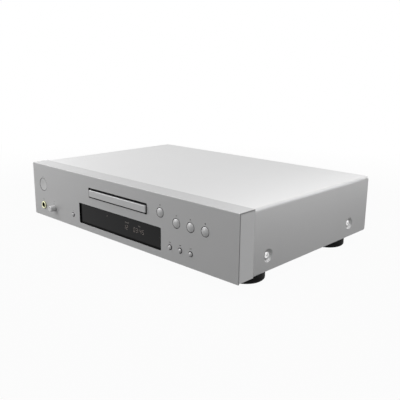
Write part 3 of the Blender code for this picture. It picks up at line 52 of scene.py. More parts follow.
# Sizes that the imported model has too
half_width = 217.5 * mm
plate_height = 84.3 * mm
lip_depth = 27.0 * mm
cover_front = lip_depth
cover_back = 294.0 * mm
cover_base = 2.7 * mm
cover_top = 84.1 * mm
rear_face = 292.7 * mm
socket_rise = 30.0 * mm
main_board_face = 14.6 * mm
control_board_face = 14.0 * mm
window = (-91.3 * mm, 88.5 * mm, 9.3 * mm, 40.0 * mm)

# Sizes of the looks
slot = (-66.2 * mm, 62.0 * mm, 52.1 * mm, 66.8 * mm)
slot_corner = 0.8 * mm
window_corner = 1.5 * mm
plate_thickness = 1.4 * mm
plate_edge = 0.8 * mm
cover_thickness = 1.0 * mm
cover_bend = 4.5 * mm
cover_corner = 3.0 * mm
bend_strip = 0.4 * mm
screw_depths = (54.6 * mm, 245.4 * mm)
screw_height = 22.1 * mm
cheek_forward = 0.7 * mm
cheek_up = 0.5 * mm
door_left = 3.3 * mm
door_bottom = 1.4 * mm
door_top = 1.5 * mm
door_nose = 0.9 * mm
pane_face = 2.2 * mm
pane_flange = 2.1 * mm
pane_border = 2.4 * mm
ink_depth = 0.02 * mm
ink_gap = 0.01 * mm
weld = 0.001 * mm

big_buttons = ("open_button", "play_button", "pause_button", "stop_button")
small_buttons = ("skip_back_button", "skip_forward_button", "repeat_button", "dimmer_button")
corners = ("front_left", "front_right", "rear_left", "rear_right")
sides = ("left", "middle", "right")

# Radii of the holes in the front plate
hole_radius = {"power_button": 10.4 * mm}
hole_radius.update({name: 6.6 * mm for name in big_buttons})
hole_radius.update({name: 3.7 * mm for name in small_buttons})
hole_radius.update({"dimmer_button": 3.4 * mm, "headphone_bush": 6.2 * mm, "level_knob": 3.1 * mm})


# Nodes and node groups shared by the finishes

def join_nodes(tree, *pairs):
    for out, into in pairs:
        tree.links.new(out, into)


def math_node(tree, operation):
    node = tree.nodes.new("ShaderNodeMath")
    node.operation = operation
    return node


def object_place(tree):
    """Where a point is on the player, in metres."""
    return tree.nodes.new("ShaderNodeTexCoord").outputs["Object"]


def new_group(name, inputs, outputs):
    """An empty shader group with named values in and out."""
    group = bpy.data.node_groups.new(name, "ShaderNodeTree")
    for label, value in inputs:
        socket = group.interface.new_socket(label, in_out="INPUT", socket_type="NodeSocketFloat")
        socket.default_value = value
    for label in outputs:
        group.interface.new_socket(label, in_out="OUTPUT", socket_type="NodeSocketFloat")
    return group, group.nodes.new("NodeGroupInput"), group.nodes.new("NodeGroupOutput")


def grain_group():
    """Fine even grain, as on blasted metal, powder paint or a moulding, with a slow drift of tone."""
    group, given, result = new_group("fine grain", (("Scale", 2500.0), ("Drift Scale", 14.0)),
                                     ("Height", "Drift"))
    place = object_place(group)
    fine = group.nodes.new("ShaderNodeTexNoise")
    fine.inputs["Detail"].default_value = 2.0
    slow = group.nodes.new("ShaderNodeTexNoise")
    slow.inputs["Detail"].default_value = 3.0
    slow.inputs["Roughness"].default_value = 0.55
    join_nodes(
        group,
        (place, fine.inputs["Vector"]),
        (given.outputs["Scale"], fine.inputs["Scale"]),
        (fine.outputs["Fac"], result.inputs["Height"]),
        (place, slow.inputs["Vector"]),
        (given.outputs["Drift Scale"], slow.inputs["Scale"]),
        (slow.outputs["Fac"], result.inputs["Drift"]),
    )
    return group


def handling_group():
    """Where fingers have dulled a surface: soft uneven patches."""
    group, given, result = new_group("handling", (("Scale", 40.0), ("Threshold", 0.55)), ("Mask",))
    patch = group.nodes.new("ShaderNodeTexNoise")
    patch.inputs["Detail"].default_value = 5.0
    patch.inputs["Distortion"].default_value = 0.6
    ramp = group.nodes.new("ShaderNodeMapRange")
    ramp.inputs["From Max"].default_value = 0.8
    join_nodes(
        group,
        (object_place(group), patch.inputs["Vector"]),
        (given.outputs["Scale"], patch.inputs["Scale"]),
        (patch.outputs["Fac"], ramp.inputs["Value"]),
        (given.outputs["Threshold"], ramp.inputs["From Min"]),
        (ramp.outputs["Result"], result.inputs["Mask"]),
    )
    return group


def dust_group():
    """A thin film of dust on what faces up."""
    group, given, result = new_group("dust film", (("Amount", 0.1),), ("Mask",))
    cloud = group.nodes.new("ShaderNodeTexNoise")
    cloud.inputs["Scale"].default_value = 30.0
    cloud.inputs["Detail"].default_value = 4.0
    facing = group.nodes.new("ShaderNodeNewGeometry")
    parts = group.nodes.new("ShaderNodeSeparateXYZ")
    up = group.nodes.new("ShaderNodeMapRange")
    up.inputs["From Min"].default_value = 0.6
    soft = math_node(group, "MULTIPLY")
    scaled = math_node(group, "MULTIPLY")
    join_nodes(
        group,
        (object_place(group), cloud.inputs["Vector"]),
        (facing.outputs["Normal"], parts.inputs["Vector"]),
        (parts.outputs["Z"], up.inputs["Value"]),
        (up.outputs["Result"], soft.inputs[0]),
        (cloud.outputs["Fac"], soft.inputs[1]),
        (soft.outputs["Value"], scaled.inputs[0]),
        (given.outputs["Amount"], scaled.inputs[1]),
        (scaled.outputs["Value"], result.inputs["Mask"]),
    )
    return group


grain = grain_group()
handling = handling_group()
dust = dust_group()


def new_finish(name):
    """A material with its Principled shader, ready for nodes."""
    material = bpy.data.materials.new(name)
    material.use_nodes = True
    return material, material.node_tree, material.node_tree.nodes["Principled BSDF"]


def place_group(tree, group, **values):
    node = tree.nodes.new("ShaderNodeGroup")
    node.node_tree = group
    for label, value in values.items():
        node.inputs[label.replace("_", " ")].default_value = value
    return node


def touched(tree, scale, threshold=0.5):
    """The mask of what fingers have dulled."""
    return place_group(tree, handling, Scale=scale, Threshold=threshold).outputs["Mask"]


def blend(tree, mask, first, second):
    """A colour that moves from the first to the second by a mask. Each is a fixed colour or a socket."""
    mix = tree.nodes.new("ShaderNodeMix")
    mix.data_type = "RGBA"
    tree.links.new(mask, mix.inputs[0])
    for colour, into in ((first, mix.inputs[6]), (second, mix.inputs[7])):
        if isinstance(colour, tuple):
            into.default_value = (*colour, 1.0)
        else:
            tree.links.new(colour, into)
    return mix.outputs[2]


def between(tree, mask, low, high):
    """A value that moves between two limits by a mask."""
    ramp = tree.nodes.new("ShaderNodeMapRange")
    ramp.inputs["To Min"].default_value = low
    ramp.inputs["To Max"].default_value = high
    tree.links.new(mask, ramp.inputs["Value"])
    return ramp.outputs["Result"]


def bump(tree, shader, height, depth, strength):
    node = tree.nodes.new("ShaderNodeBump")
    node.inputs["Strength"].default_value = strength
    node.inputs["Distance"].default_value = depth
    tree.links.new(height, node.inputs["Height"])
    tree.links.new(node.outputs["Normal"], shader.inputs["Normal"])


def shade(value, factor):
    return tuple(min(channel * factor, 1.0) for channel in value)


def surface(name, colour, rough, metallic=0.0, grain_scale=2500.0, depth=0.02 * mm, strength=0.3,
            tone=0.04, dusty=0.0, level=0.5, worn=0.08):
    """A grained surface: tone drifts, fingers dull it and dust lies on top."""
    material, tree, shader = new_finish(name)
    texture = place_group(tree, grain, Scale=grain_scale, Drift_Scale=14.0)
    shown = blend(tree, texture.outputs["Drift"], shade(colour, 1 - tone), shade(colour, 1 + tone))
    if dusty:
        film = place_group(tree, dust, Amount=dusty)
        shown = blend(tree, film.outputs["Mask"], shown, (0.55, 0.54, 0.52))
    join_nodes(
        tree,
        (shown, shader.inputs["Base Color"]),
        (between(tree, touched(tree, 40.0), rough, rough + worn), shader.inputs["Roughness"]),
    )
    bump(tree, shader, texture.outputs["Height"], depth, strength)
    shader.inputs["Metallic"].default_value = metallic
    shader.inputs["Specular IOR Level"].default_value = level
    return material


def zinc_sheet():
    """Zinc-plated sheet with its faint crystals."""
    material, tree, shader = new_finish("zinc_sheet")
    crystal = tree.nodes.new("ShaderNodeTexVoronoi")
    crystal.inputs["Scale"].default_value = 90.0
    join_nodes(
        tree,
        (object_place(tree), crystal.inputs["Vector"]),
        (blend(tree, crystal.outputs["Distance"], (0.47, 0.48, 0.49), (0.58, 0.58, 0.58)),
         shader.inputs["Base Color"]),
        (between(tree, touched(tree, 30.0), 0.32, 0.48), shader.inputs["Roughness"]),
    )
    bump(tree, shader, crystal.outputs["Distance"], 0.02 * mm, 0.2)
    shader.inputs["Metallic"].default_value = 0.9
    return material


def turned_metal(name, colour, rough, centre):
    """Metal with the fine rings of a lathe tool about a centre line that runs front to back."""
    material, tree, shader = new_finish(name)
    move = tree.nodes.new("ShaderNodeMapping")
    move.inputs["Location"].default_value = tuple(-value for value in centre)
    rings = tree.nodes.new("ShaderNodeTexWave")
    rings.wave_type = "RINGS"
    rings.rings_direction = "Y"
    rings.inputs["Scale"].default_value = 420.0
    rings.inputs["Distortion"].default_value = 0.4
    dulled = touched(tree, 120.0)
    join_nodes(
        tree,
        (object_place(tree), move.inputs["Vector"]),
        (move.outputs["Vector"], rings.inputs["Vector"]),
        (blend(tree, dulled, colour, shade(colour, 0.94)), shader.inputs["Base Color"]),
        (between(tree, dulled, rough, rough + 0.06), shader.inputs["Roughness"]),
    )
    bump(tree, shader, rings.outputs["Fac"], 0.01 * mm, 0.1)
    shader.inputs["Metallic"].default_value = 0.1
    return material


def circuit_board(name, along, side, level):
    """Green solder mask with paler tracks under it, and black parts on the side that carries them."""
    material, tree, shader = new_finish(name)
    place = object_place(tree)
    tracks = tree.nodes.new("ShaderNodeTexBrick")
    tracks.inputs["Scale"].default_value = 160.0
    tracks.inputs["Mortar Size"].default_value = 0.03
    tracks.inputs["Color1"].default_value = (0.012, 0.075, 0.025, 1.0)
    tracks.inputs["Color2"].default_value = (0.016, 0.095, 0.032, 1.0)
    tracks.inputs["Mortar"].default_value = (0.035, 0.16, 0.06, 1.0)
    ways = tree.nodes.new("ShaderNodeSeparateXYZ")
    reach = math_node(tree, "MULTIPLY")
    reach.inputs[1].default_value = side
    stands = math_node(tree, "GREATER_THAN")
    stands.inputs[1].default_value = side * level + 0.1 * mm
    dulled = touched(tree, 60.0)
    black = blend(tree, dulled, (0.014, 0.014, 0.016), (0.02, 0.02, 0.022))
    join_nodes(
        tree,
        (place, tracks.inputs["Vector"]),
        (place, ways.inputs["Vector"]),
        (ways.outputs[along], reach.inputs[0]),
        (reach.outputs["Value"], stands.inputs[0]),
        (blend(tree, stands.outputs["Value"], tracks.outputs["Color"], black), shader.inputs["Base Color"]),
        (between(tree, dulled, 0.3, 0.45), shader.inputs["Roughness"]),
    )
    bump(tree, shader, tracks.outputs["Fac"], 0.03 * mm, 0.3)
    return material


def laminations():
    """A varnished stack of thin sheets."""
    material, tree, shader = new_finish("laminations")
    sheets = tree.nodes.new("ShaderNodeTexWave")
    sheets.bands_direction = "Y"
    sheets.inputs["Scale"].default_value = 300.0
    sheets.inputs["Distortion"].default_value = 0.3
    join_nodes(
        tree,
        (object_place(tree), sheets.inputs["Vector"]),
        (blend(tree, sheets.outputs["Fac"], (0.02, 0.018, 0.016), (0.06, 0.055, 0.05)),
         shader.inputs["Base Color"]),
        (between(tree, touched(tree, 40.0), 0.3, 0.5), shader.inputs["Roughness"]),
    )
    bump(tree, shader, sheets.outputs["Fac"], 0.1 * mm, 0.5)
    shader.inputs["Metallic"].default_value = 0.5
    return material


def smoked_pane():
    """Smoked acrylic: near black, glossy, with faint wiping marks."""
    material, tree, shader = new_finish("smoked_pane")
    texture = place_group(tree, grain, Scale=60.0, Drift_Scale=9.0)
    join_nodes(
        tree,
        (blend(tree, texture.outputs["Drift"], (0.011, 0.011, 0.0115), (0.0148, 0.0148, 0.0153)),
         shader.inputs["Base Color"]),
        (between(tree, touched(tree, 25.0, 0.45), 0.1, 0.17), shader.inputs["Roughness"]),
    )
    shader.inputs["Specular IOR Level"].default_value = 0.12
    return material


def lit_segment(name, colour, strength):
    """A lit mark of the display, a little uneven in brightness."""
    material, tree, shader = new_finish(name)
    texture = place_group(tree, grain, Scale=900.0, Drift_Scale=60.0)
    glow = blend(tree, texture.outputs["Height"], shade(colour, 0.8), colour)
    join_nodes(tree, (glow, shader.inputs["Base Color"]), (glow, shader.inputs["Emission Color"]))
    shader.inputs["Emission Strength"].default_value = strength
    shader.inputs["Roughness"].default_value = 0.4
    return material


anodised = surface("anodised_front", (0.50, 0.50, 0.502), 0.42, metallic=0.15, grain_scale=2600.0,
                   depth=0.03 * mm, strength=0.25, tone=0.015)
# Painted shade: a darker finish for the plate's end faces, which catch little light.
shaded_plate_end = surface("plate_end_painted_shade", (0.25, 0.25, 0.252), 0.5, metallic=0.2, tone=0.05)
# Matte black: painted shade in the plate's openings, on the buttons' sides, behind the tray door and in the
# headphone ring's bore; also the front subframe's black and the pane's lower band.
black_and_painted_shade = surface("matte_black_and_painted_shade", (0.004, 0.004, 0.004), 0.7, tone=0.1, level=0.1)
door_metal = surface("tray_door_metal", (0.54, 0.54, 0.542), 0.36, metallic=0.2, grain_scale=3000.0,
                     depth=0.02 * mm, strength=0.15, tone=0.015)
cap_plastic = surface("end_cap_plastic", (0.40, 0.40, 0.402), 0.42, metallic=0.8, tone=0.015, dusty=0.03)
cover_paint = surface("cover_paint", (0.68, 0.68, 0.682), 0.32, grain_scale=1800.0,
                      depth=0.03 * mm, strength=0.15, tone=0.012, dusty=0.03, level=0.5, worn=0.015)
button_metal = surface("button_silver", (0.53, 0.53, 0.532), 0.4, metallic=0.2, grain_scale=3000.0,
                       depth=0.02 * mm, strength=0.12, tone=0.02)
moulding = surface("black_moulding", (0.013, 0.013, 0.014), 0.5, grain_scale=1500.0, depth=0.05 * mm,
                   strength=0.35, tone=0.12, dusty=0.02, level=0.35)
dark_steel = surface("rear_sheet_paint", (0.30, 0.30, 0.305), 0.45, metallic=0.3, grain_scale=1600.0,
                     depth=0.05 * mm, strength=0.3, tone=0.03, dusty=0.03)
foot_rubber = surface("foot_rubber", (0.009, 0.009, 0.0092), 0.6, grain_scale=1300.0, depth=0.06 * mm,
                      strength=0.4, tone=0.15, dusty=0.03, level=0.12)
screw_metal = surface("bright_screw", (0.78, 0.78, 0.78), 0.24, metallic=1.0, tone=0.03, strength=0.08)
tray_plastic = surface("tray_moulding", (0.022, 0.022, 0.024), 0.42, grain_scale=1800.0, depth=0.04 * mm,
                       strength=0.3, tone=0.08, dusty=0.02)
white_plastic = surface("white_moulding", (0.66, 0.655, 0.63), 0.4, grain_scale=1500.0, strength=0.15,
                        tone=0.02)
grey_plastic = surface("grey_moulding", (0.09, 0.09, 0.095), 0.5, grain_scale=1600.0, strength=0.3, tone=0.06)
belt_rubber = surface("belt_rubber", (0.010, 0.010, 0.010), 0.7, tone=0.2)
can_steel = surface("motor_can", (0.55, 0.55, 0.55), 0.3, metallic=1.0, tone=0.05, strength=0.1)
gold_plate = surface("gold_plate", (0.83, 0.70, 0.36), 0.22, metallic=1.0, tone=0.03, strength=0.05)
pale_gold = surface("pale_gold", (0.70, 0.70, 0.46), 0.25, metallic=0.8, tone=0.03, strength=0.05)
red_ring = surface("red_ring", (0.45, 0.012, 0.012), 0.4, tone=0.05)
white_ring = surface("white_ring", (0.72, 0.72, 0.70), 0.4, tone=0.02)
orange_ring = surface("orange_ring", (0.70, 0.17, 0.015), 0.4, tone=0.04)
grey_ink = surface("grey_ink", (0.03, 0.03, 0.031), 0.6, tone=0.1, strength=0.05)
pale_ink = surface("pale_ink", (0.62, 0.62, 0.62), 0.6, tone=0.05, strength=0.05)
tube_glass = surface("display_tube_glass", (0.03, 0.035, 0.035), 0.12, tone=0.1, strength=0.02)
zinc = zinc_sheet()
main_green = circuit_board("main_circuit_board", "Z", 1.0, datum.z + main_board_face)
control_green = circuit_board("control_circuit_board", "Y", -1.0, datum.y + control_board_face)
core = laminations()
pane = smoked_pane()
digit_glow = lit_segment("display_digits", (0.12, 0.097, 0.085), 0.32)
label_glow = lit_segment("display_labels", (0.16, 0.145, 0.13), 0.4)


# Shapes

def everything(bm):
    return bm.verts[:] + bm.edges[:] + bm.faces[:]


def verts_of(edges):
    return list({vert for edge in edges for vert in edge.verts})


def new_items(made, kind):
    return [item for item in made if isinstance(item, kind)]


def turned(profile, steps=64):
    """A closed turned shape about Z, from points of radius and height in mm down its outer side."""
    bm = bmesh.new()
    rim = [bm.verts.new((radius * mm, 0.0, height * mm)) for radius, height in profile]
    line = [bm.edges.new(pair) for pair in zip(rim, rim[1:])]
    if profile[0][0] > 0.0:
        line.append(bm.edges.new((rim[-1], rim[0])))
    bmesh.ops.spin(bm, geom=rim + line, axis=(0, 0, 1), cent=(0, 0, 0), steps=steps,
                   angle=2 * math.pi, use_merge=True)
    bmesh.ops.remove_doubles(bm, verts=bm.verts, dist=weld)
    bmesh.ops.recalc_face_normals(bm, faces=bm.faces)
    return bm


def round_off(bm, geom, width, affect, segments):
    """Bevel edges or corners to a round and return what it makes."""
    return bmesh.ops.bevel(bm, geom=geom, offset=width, offset_type="OFFSET", affect=affect,
                           segments=segments, profile=0.5, material=-1, clamp_overlap=affect == "EDGES")


def soften(bm, width, segments=2, angle=50.0):
    """Bevel the edges that are sharper than an angle."""
    sharp = [edge for edge in bm.edges
             if len(edge.link_faces) == 2 and edge.calc_face_angle(0.0) > math.radians(angle)]
    round_off(bm, sharp, width, "EDGES", segments)


def cuboid(low, high, width=0.0, segments=2):
    """A box between two corners, with its edges bevelled."""
    bm = bmesh.new()
    low, high = Vector(low), Vector(high)
    bmesh.ops.create_cube(bm, size=1.0)
    bmesh.ops.scale(bm, vec=high - low, verts=bm.verts)
    bmesh.ops.translate(bm, vec=(low + high) / 2, verts=bm.verts)
    if width:
        soften(bm, width, segments)
    return bm


def printed_bar(low_x, low_z, high_x, high_z):
    """A printed rectangle that faces the front."""
    return cuboid((low_x, -ink_depth, low_z), (high_x, 0.0, high_z))


def printed_disc(radius, segments):
    """A flat printed mark that faces up, round or with a few sides."""
    bm = bmesh.new()
    bmesh.ops.create_cone(bm, cap_ends=True, segments=segments, radius1=radius, radius2=radius,
                          depth=ink_depth)
    return bm


def paint(bm, finish, chosen=lambda centre: True):
    """Give faces another of the piece's finishes: those whose middle passes a test, or all of them."""
    for face in bm.faces:
        if chosen(face.calc_center_median()):
            face.material_index = finish


def merge(target, other, finish=0):
    """Add one shape's mesh, in one of the piece's finishes, to another and drop the first copy."""
    paint(other, finish)
    spare = bpy.data.meshes.new("spare")
    other.to_mesh(spare)
    other.free()
    target.from_mesh(spare)
    bpy.data.meshes.remove(spare)


def cut_across(bm, place, normal):
    """Divide the faces that a plane crosses."""
    bmesh.ops.bisect_plane(bm, geom=everything(bm), dist=weld, plane_co=place, plane_no=normal)


def finish_piece(name, bm, materials, body, replaced=(), turn=None, place=None,
                 smooth=35.0):
    """Make a shape a piece of the player, in its place, on its body and in its finish."""
    matrix = Matrix.Translation(place or Vector()) @ (turn or Euler((0, 0, 0))).to_matrix().to_4x4()
    bmesh.ops.transform(bm, matrix=matrix, verts=bm.verts)
    mesh = bpy.data.meshes.new(name)
    bm.to_mesh(mesh)
    bm.free()
    for material in materials:
        mesh.materials.append(material)
    mesh.shade_smooth()
    mesh.set_sharp_from_angle(angle=math.radians(smooth))
    piece = bpy.data.objects.new(name, mesh)
    bpy.context.scene.collection.objects.link(piece)
    even = piece.modifiers.new("even_shading", "WEIGHTED_NORMAL")
    even.keep_sharp = True
    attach(piece, body)
    if replaced:
        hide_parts(*replaced)


to_front = Euler((math.pi / 2, 0.0, 0.0))
to_back = Euler((-math.pi / 2, 0.0, 0.0))
to_right = Euler((0.0, math.pi / 2, 0.0))
to_left = Euler((0.0, -math.pi / 2, 0.0))
upside_down = Euler((math.pi, 0.0, 0.0))
read_from_behind = Euler((math.pi / 2, 0.0, math.pi))


def loop_rectangle(bm, low_x, high_x, low_z, high_z, radius):
    """The edges of an upright rectangle with round corners."""
    verts = [bm.verts.new((x, 0.0, z)) for x, z in (
        (low_x, low_z), (high_x, low_z), (high_x, high_z), (low_x, high_z))]
    face = bm.faces.new(verts)
    if radius:
        rounded = round_off(bm, verts, radius, "VERTICES", 6)
        face = max(rounded["faces"] + [f for f in bm.faces if f.is_valid], key=lambda f: f.calc_area())
    edges = list(face.edges)
    bmesh.ops.delete(bm, geom=[face], context="FACES_ONLY")
    return edges


def loop_circle(bm, centre, radius, turn, segments=48):
    """The edges of a circle that faces the way of a turn."""
    matrix = Matrix.Translation(centre) @ turn.to_matrix().to_4x4()
    made = bmesh.ops.create_circle(bm, cap_ends=False, segments=segments, radius=radius, matrix=matrix)
    return list({edge for vert in made["verts"] for edge in vert.link_edges})


def grow_edge(bm, edges, offset):
    """Extrude edges by an offset and return the new ones."""
    made = bmesh.ops.extrude_edge_only(bm, edges=edges)["geom"]
    bmesh.ops.translate(bm, vec=offset, verts=new_items(made, bmesh.types.BMVert))
    return new_items(made, bmesh.types.BMEdge)


def step_ring(bm, ring, offset, scale, about=(0, 0, 0)):
    """Extrude a ring of edges, scale the new ring about a point and return it."""
    ring = grow_edge(bm, ring, offset)
    bmesh.ops.scale(bm, vec=scale, verts=verts_of(ring), space=Matrix.Translation(-Vector(about)))
    return ring


def edges_above(edges, height):
    """The edges that lie wholly above a height."""
    return [edge for edge in edges if edge.is_valid and all(vert.co.z > height for vert in edge.verts)]


def fold_over(bm, edges, corner, way, radius, length, steps):
    """Bend an upright sheet over to another way, round a corner, and run it on to a length."""
    up = Vector((0, 0, 1))
    way = Vector(way)
    top = grow_edge(bm, edges, up * bend_strip)
    made = bmesh.ops.spin(bm, geom=verts_of(top) + top, cent=Vector(corner) + (way - up) * radius,
                          axis=up.cross(way), angle=math.pi / 2, steps=steps, use_merge=False,
                          use_duplicate=False)
    top = grow_edge(bm, new_items(made["geom_last"], bmesh.types.BMEdge), way * bend_strip)
    grow_edge(bm, top, way * (length - radius - bend_strip))


def thicken(bm, thickness):
    """Turn an open sheet's faces outwards, going by its largest one, and give it thickness inwards."""
    front_and_up = Vector((0, -1, 1))
    bmesh.ops.recalc_face_normals(bm, faces=bm.faces)
    if max(bm.faces, key=lambda face: face.calc_area()).normal.dot(front_and_up) < 0:
        bmesh.ops.reverse_faces(bm, faces=bm.faces)
    bmesh.ops.solidify(bm, geom=list(bm.faces), thickness=thickness)
    bmesh.ops.recalc_face_normals(bm, faces=bm.faces)


def node_centre(node):
    low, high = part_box(node)
    return (low + high) / 2


def front_place(node):
    """A node's middle, on the plane of the front plate's face."""
    centre = node_centre(node)
    return Vector((centre.x, datum.y, centre.z))


# Front plate, with the walls of its openings painted black as shade

def make_front_plate():
    """A sheet with its openings, whose top is bent over into the lip."""
    bm = bmesh.new()
    face_top = plate_height - plate_edge - bend_strip
    outer = loop_rectangle(bm, -half_width, half_width, 0.0, face_top, 0.0)
    edges = outer + loop_rectangle(bm, *slot, slot_corner) + loop_rectangle(bm, *window, window_corner)
    for node, radius in hole_radius.items():
        edges += loop_circle(bm, front_place(node) - datum, radius, to_front)
    bmesh.ops.triangle_fill(bm, edges=edges, use_beauty=True, normal=(0, -1, 0))
    top = edges_above(outer, face_top - bend_strip)
    fold_over(bm, top, (0, 0, plate_height), (0, 1, 0), plate_edge, lip_depth, 8)
    thicken(bm, plate_thickness)
    # Painted shade: the plate's end faces take the darker finish, and the walls of its openings are painted
    # black.
    for face in bm.faces:
        centre = face.calc_center_median()
        if abs(face.normal.x) > 0.9 and abs(centre.x) > half_width - mm:
            face.material_index = 1
        elif abs(face.normal.y) < 0.4 and mm < centre.z < face_top - mm and centre.y < 3 * mm:
            face.material_index = 2
    soften(bm, 0.06 * mm, 1, 60.0)
    finish_piece("front_face", bm, (anodised, shaded_plate_end, black_and_painted_shade), "casing", ("front_plate",),
                 place=datum)


# Cover

# The pressed dish round a side screw: radius and depth in mm, from its rim inwards
dish = ((8.7, 0.0), (8.55, 0.06), (8.35, 0.24), (8.0, 0.66), (7.5, 1.3), (7.0, 1.95), (6.6, 2.45),
        (6.25, 2.82), (5.9, 3.05), (5.4, 3.17), (4.8, 3.2), (2.3, 3.2))


def make_cover():
    """A folded sheet with pressed dishes for its side screws."""
    bm = bmesh.new()
    side_top = cover_top - cover_bend - bend_strip
    corner = bm.verts.new((half_width, cover_back, cover_base))
    bm.faces.new([
        bm.verts.new((half_width, cover_front, cover_base)),
        corner,
        bm.verts.new((half_width, cover_back, side_top)),
        bm.verts.new((half_width, cover_front, side_top)),
    ])
    round_off(bm, [corner], cover_corner, "VERTICES", 8)
    outer = list(bm.edges)
    bmesh.ops.delete(bm, geom=list(bm.faces), context="FACES_ONLY")
    places = [Vector((half_width, y, screw_height)) for y in screw_depths]
    rings = [loop_circle(bm, place, dish[0][0] * mm, to_right, 64) for place in places]
    edges = outer + [edge for ring in rings for edge in ring]
    bmesh.ops.triangle_fill(bm, edges=edges, use_beauty=True, normal=(1, 0, 0))
    for place, ring in zip(places, rings):
        for (last_radius, last_depth), (radius, depth) in zip(dish, dish[1:]):
            share = radius / last_radius
            ring = step_ring(bm, ring, ((last_depth - depth) * mm, 0, 0), (1.0, share, share), place)
    top = edges_above(outer, side_top - bend_strip)
    fold_over(bm, top, (half_width, 0, cover_top), (-1, 0, 0), cover_bend, half_width, 12)
    bmesh.ops.mirror(bm, geom=everything(bm), matrix=Matrix(), merge_dist=0.01 * mm, axis="X")
    thicken(bm, cover_thickness)
    soften(bm, 0.15 * mm, 2, 70.0)
    add_back_edges(bm)
    finish_piece("cover_sheet", bm, (cover_paint,), "casing", ("top_cover",), place=datum)


def add_back_edges(bm):
    """The cover's tabs for the rear screws, and its folded edges beside the back panel."""
    tab_half = 9.0 * mm
    tab_top = cover_top - 0.5 * mm
    tab_base = cover_top - 14.0 * mm
    for side in sides:
        x = node_centre("rear_screw_" + side).x
        merge(bm, cuboid((x - tab_half, cover_back - cover_thickness, tab_base),
                         (x + tab_half, cover_back, tab_top), 0.15 * mm))
    fold_width = 4.3 * mm
    fold_middle = half_width - 2.45 * mm
    fold_back = cover_back - 0.1 * mm
    fold_base = cover_base + 3.0 * mm
    for side in (-1, 1):
        x = side * fold_middle
        merge(bm, cuboid((x - fold_width / 2, fold_back - cover_thickness, fold_base),
                         (x + fold_width / 2, fold_back, cover_top - cover_bend), 0.2 * mm))


# End caps, tray door and window pane

def make_end_caps():
    for side in ("left", "right"):
        node = "end_cap_" + side
        low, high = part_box(node)
        low.y -= cheek_forward
        high.z += cheek_up
        bm = cuboid(low, high, 0.25 * mm)
        finish_piece("cheek_" + side, bm, (cap_plastic,), "casing", (node,))


def make_tray_door():
    """The door's bar with its rounded upper edge, metal before the plate's face and painted black behind it,
    as shade in the gap round it.
    """
    low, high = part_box("tray_door")
    low += Vector((door_left, 0.0, door_bottom))
    high.z -= door_top
    bm = cuboid(low, high)
    nose = [edge for edge in edges_above(bm.edges, high.z - mm)
            if all(vert.co.y < low.y + mm for vert in edge.verts)]
    round_off(bm, nose, door_nose, "EDGES", 5)
    soften(bm, 0.3 * mm, 3)
    # Painted shade: what lies behind the plate's face is painted black, so the gaps round the door read dark.
    behind = datum.y - 0.1 * mm
    cut_across(bm, (0, behind, 0), (0, 1, 0))
    paint(bm, 1, lambda centre: centre.y > behind)
    finish_piece("door_bar", bm, (door_metal, black_and_painted_shade), "tray", ("tray_door",))


def make_pane():
    """The smoked pane: its flange behind the front and its face a little way into the window."""
    low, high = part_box("display_window")
    bm = cuboid(low, high)
    front = next(face for face in bm.faces if face.normal.y < -0.9)
    bmesh.ops.inset_individual(bm, faces=[front], thickness=pane_flange, depth=0.0)
    raised = bmesh.ops.extrude_discrete_faces(bm, faces=[front])["faces"][0]
    bmesh.ops.translate(bm, vec=(0, datum.y + pane_face - low.y, 0), verts=list(raised.verts))
    border = datum.z + window[2] + pane_border
    cut_across(bm, (0, 0, border), (0, 0, 1))
    paint(bm, 1, lambda centre: centre.z < border)
    bmesh.ops.recalc_face_normals(bm, faces=bm.faces)
    finish_piece("window_pane", bm, (pane, black_and_painted_shade), "casing", ("display_window",),
                 smooth=20.0)


# Display and other print

segments_of = {"0": "abcdef", "1": "bc", "2": "abged", "3": "abgcd", "4": "fgbc", "5": "afgcd"}


def add_digit(bm, value, x, z, height):
    """The lit bars of one figure, leaning a little to the right."""
    width = height * 0.52
    stroke = height * 0.11
    lean = 0.12
    half = height / 2
    gap = stroke * 0.25
    start = stroke / 2 + gap
    spans = {
        "a": (start, height - stroke, width - start, height),
        "g": (start, half - stroke / 2, width - start, half + stroke / 2),
        "d": (start, 0.0, width - start, stroke),
        "f": (0.0, half + gap, stroke, height - start),
        "b": (width - stroke, half + gap, width, height - start),
        "e": (0.0, start, stroke, half - gap),
        "c": (width - stroke, start, width, half - gap),
    }
    for label in segments_of[value]:
        bar = printed_bar(*spans[label])
        for vert in bar.verts:
            vert.co.x += vert.co.z * lean
        bmesh.ops.translate(bar, vec=(x, 0, z), verts=bar.verts)
        merge(bm, bar)


def word(name, text, size, place, material, turn=to_front):
    """A printed word or figure, as a thin mesh about a place measured from the datum."""
    curve = bpy.data.curves.new(name, "FONT")
    curve.body = text
    curve.size = size
    curve.extrude = ink_depth / 2
    curve.align_x = "CENTER"
    drawn = bpy.data.objects.new(name, curve)
    bpy.context.scene.collection.objects.link(drawn)
    bpy.context.view_layer.update()
    mesh = bpy.data.meshes.new_from_object(drawn.evaluated_get(bpy.context.evaluated_depsgraph_get()))
    bpy.data.objects.remove(drawn, do_unlink=True)
    bm = bmesh.new()
    bm.from_mesh(mesh)
    finish_piece(name, bm, (material,), "casing", (), turn=turn, place=datum + Vector(place),
                 smooth=20.0)


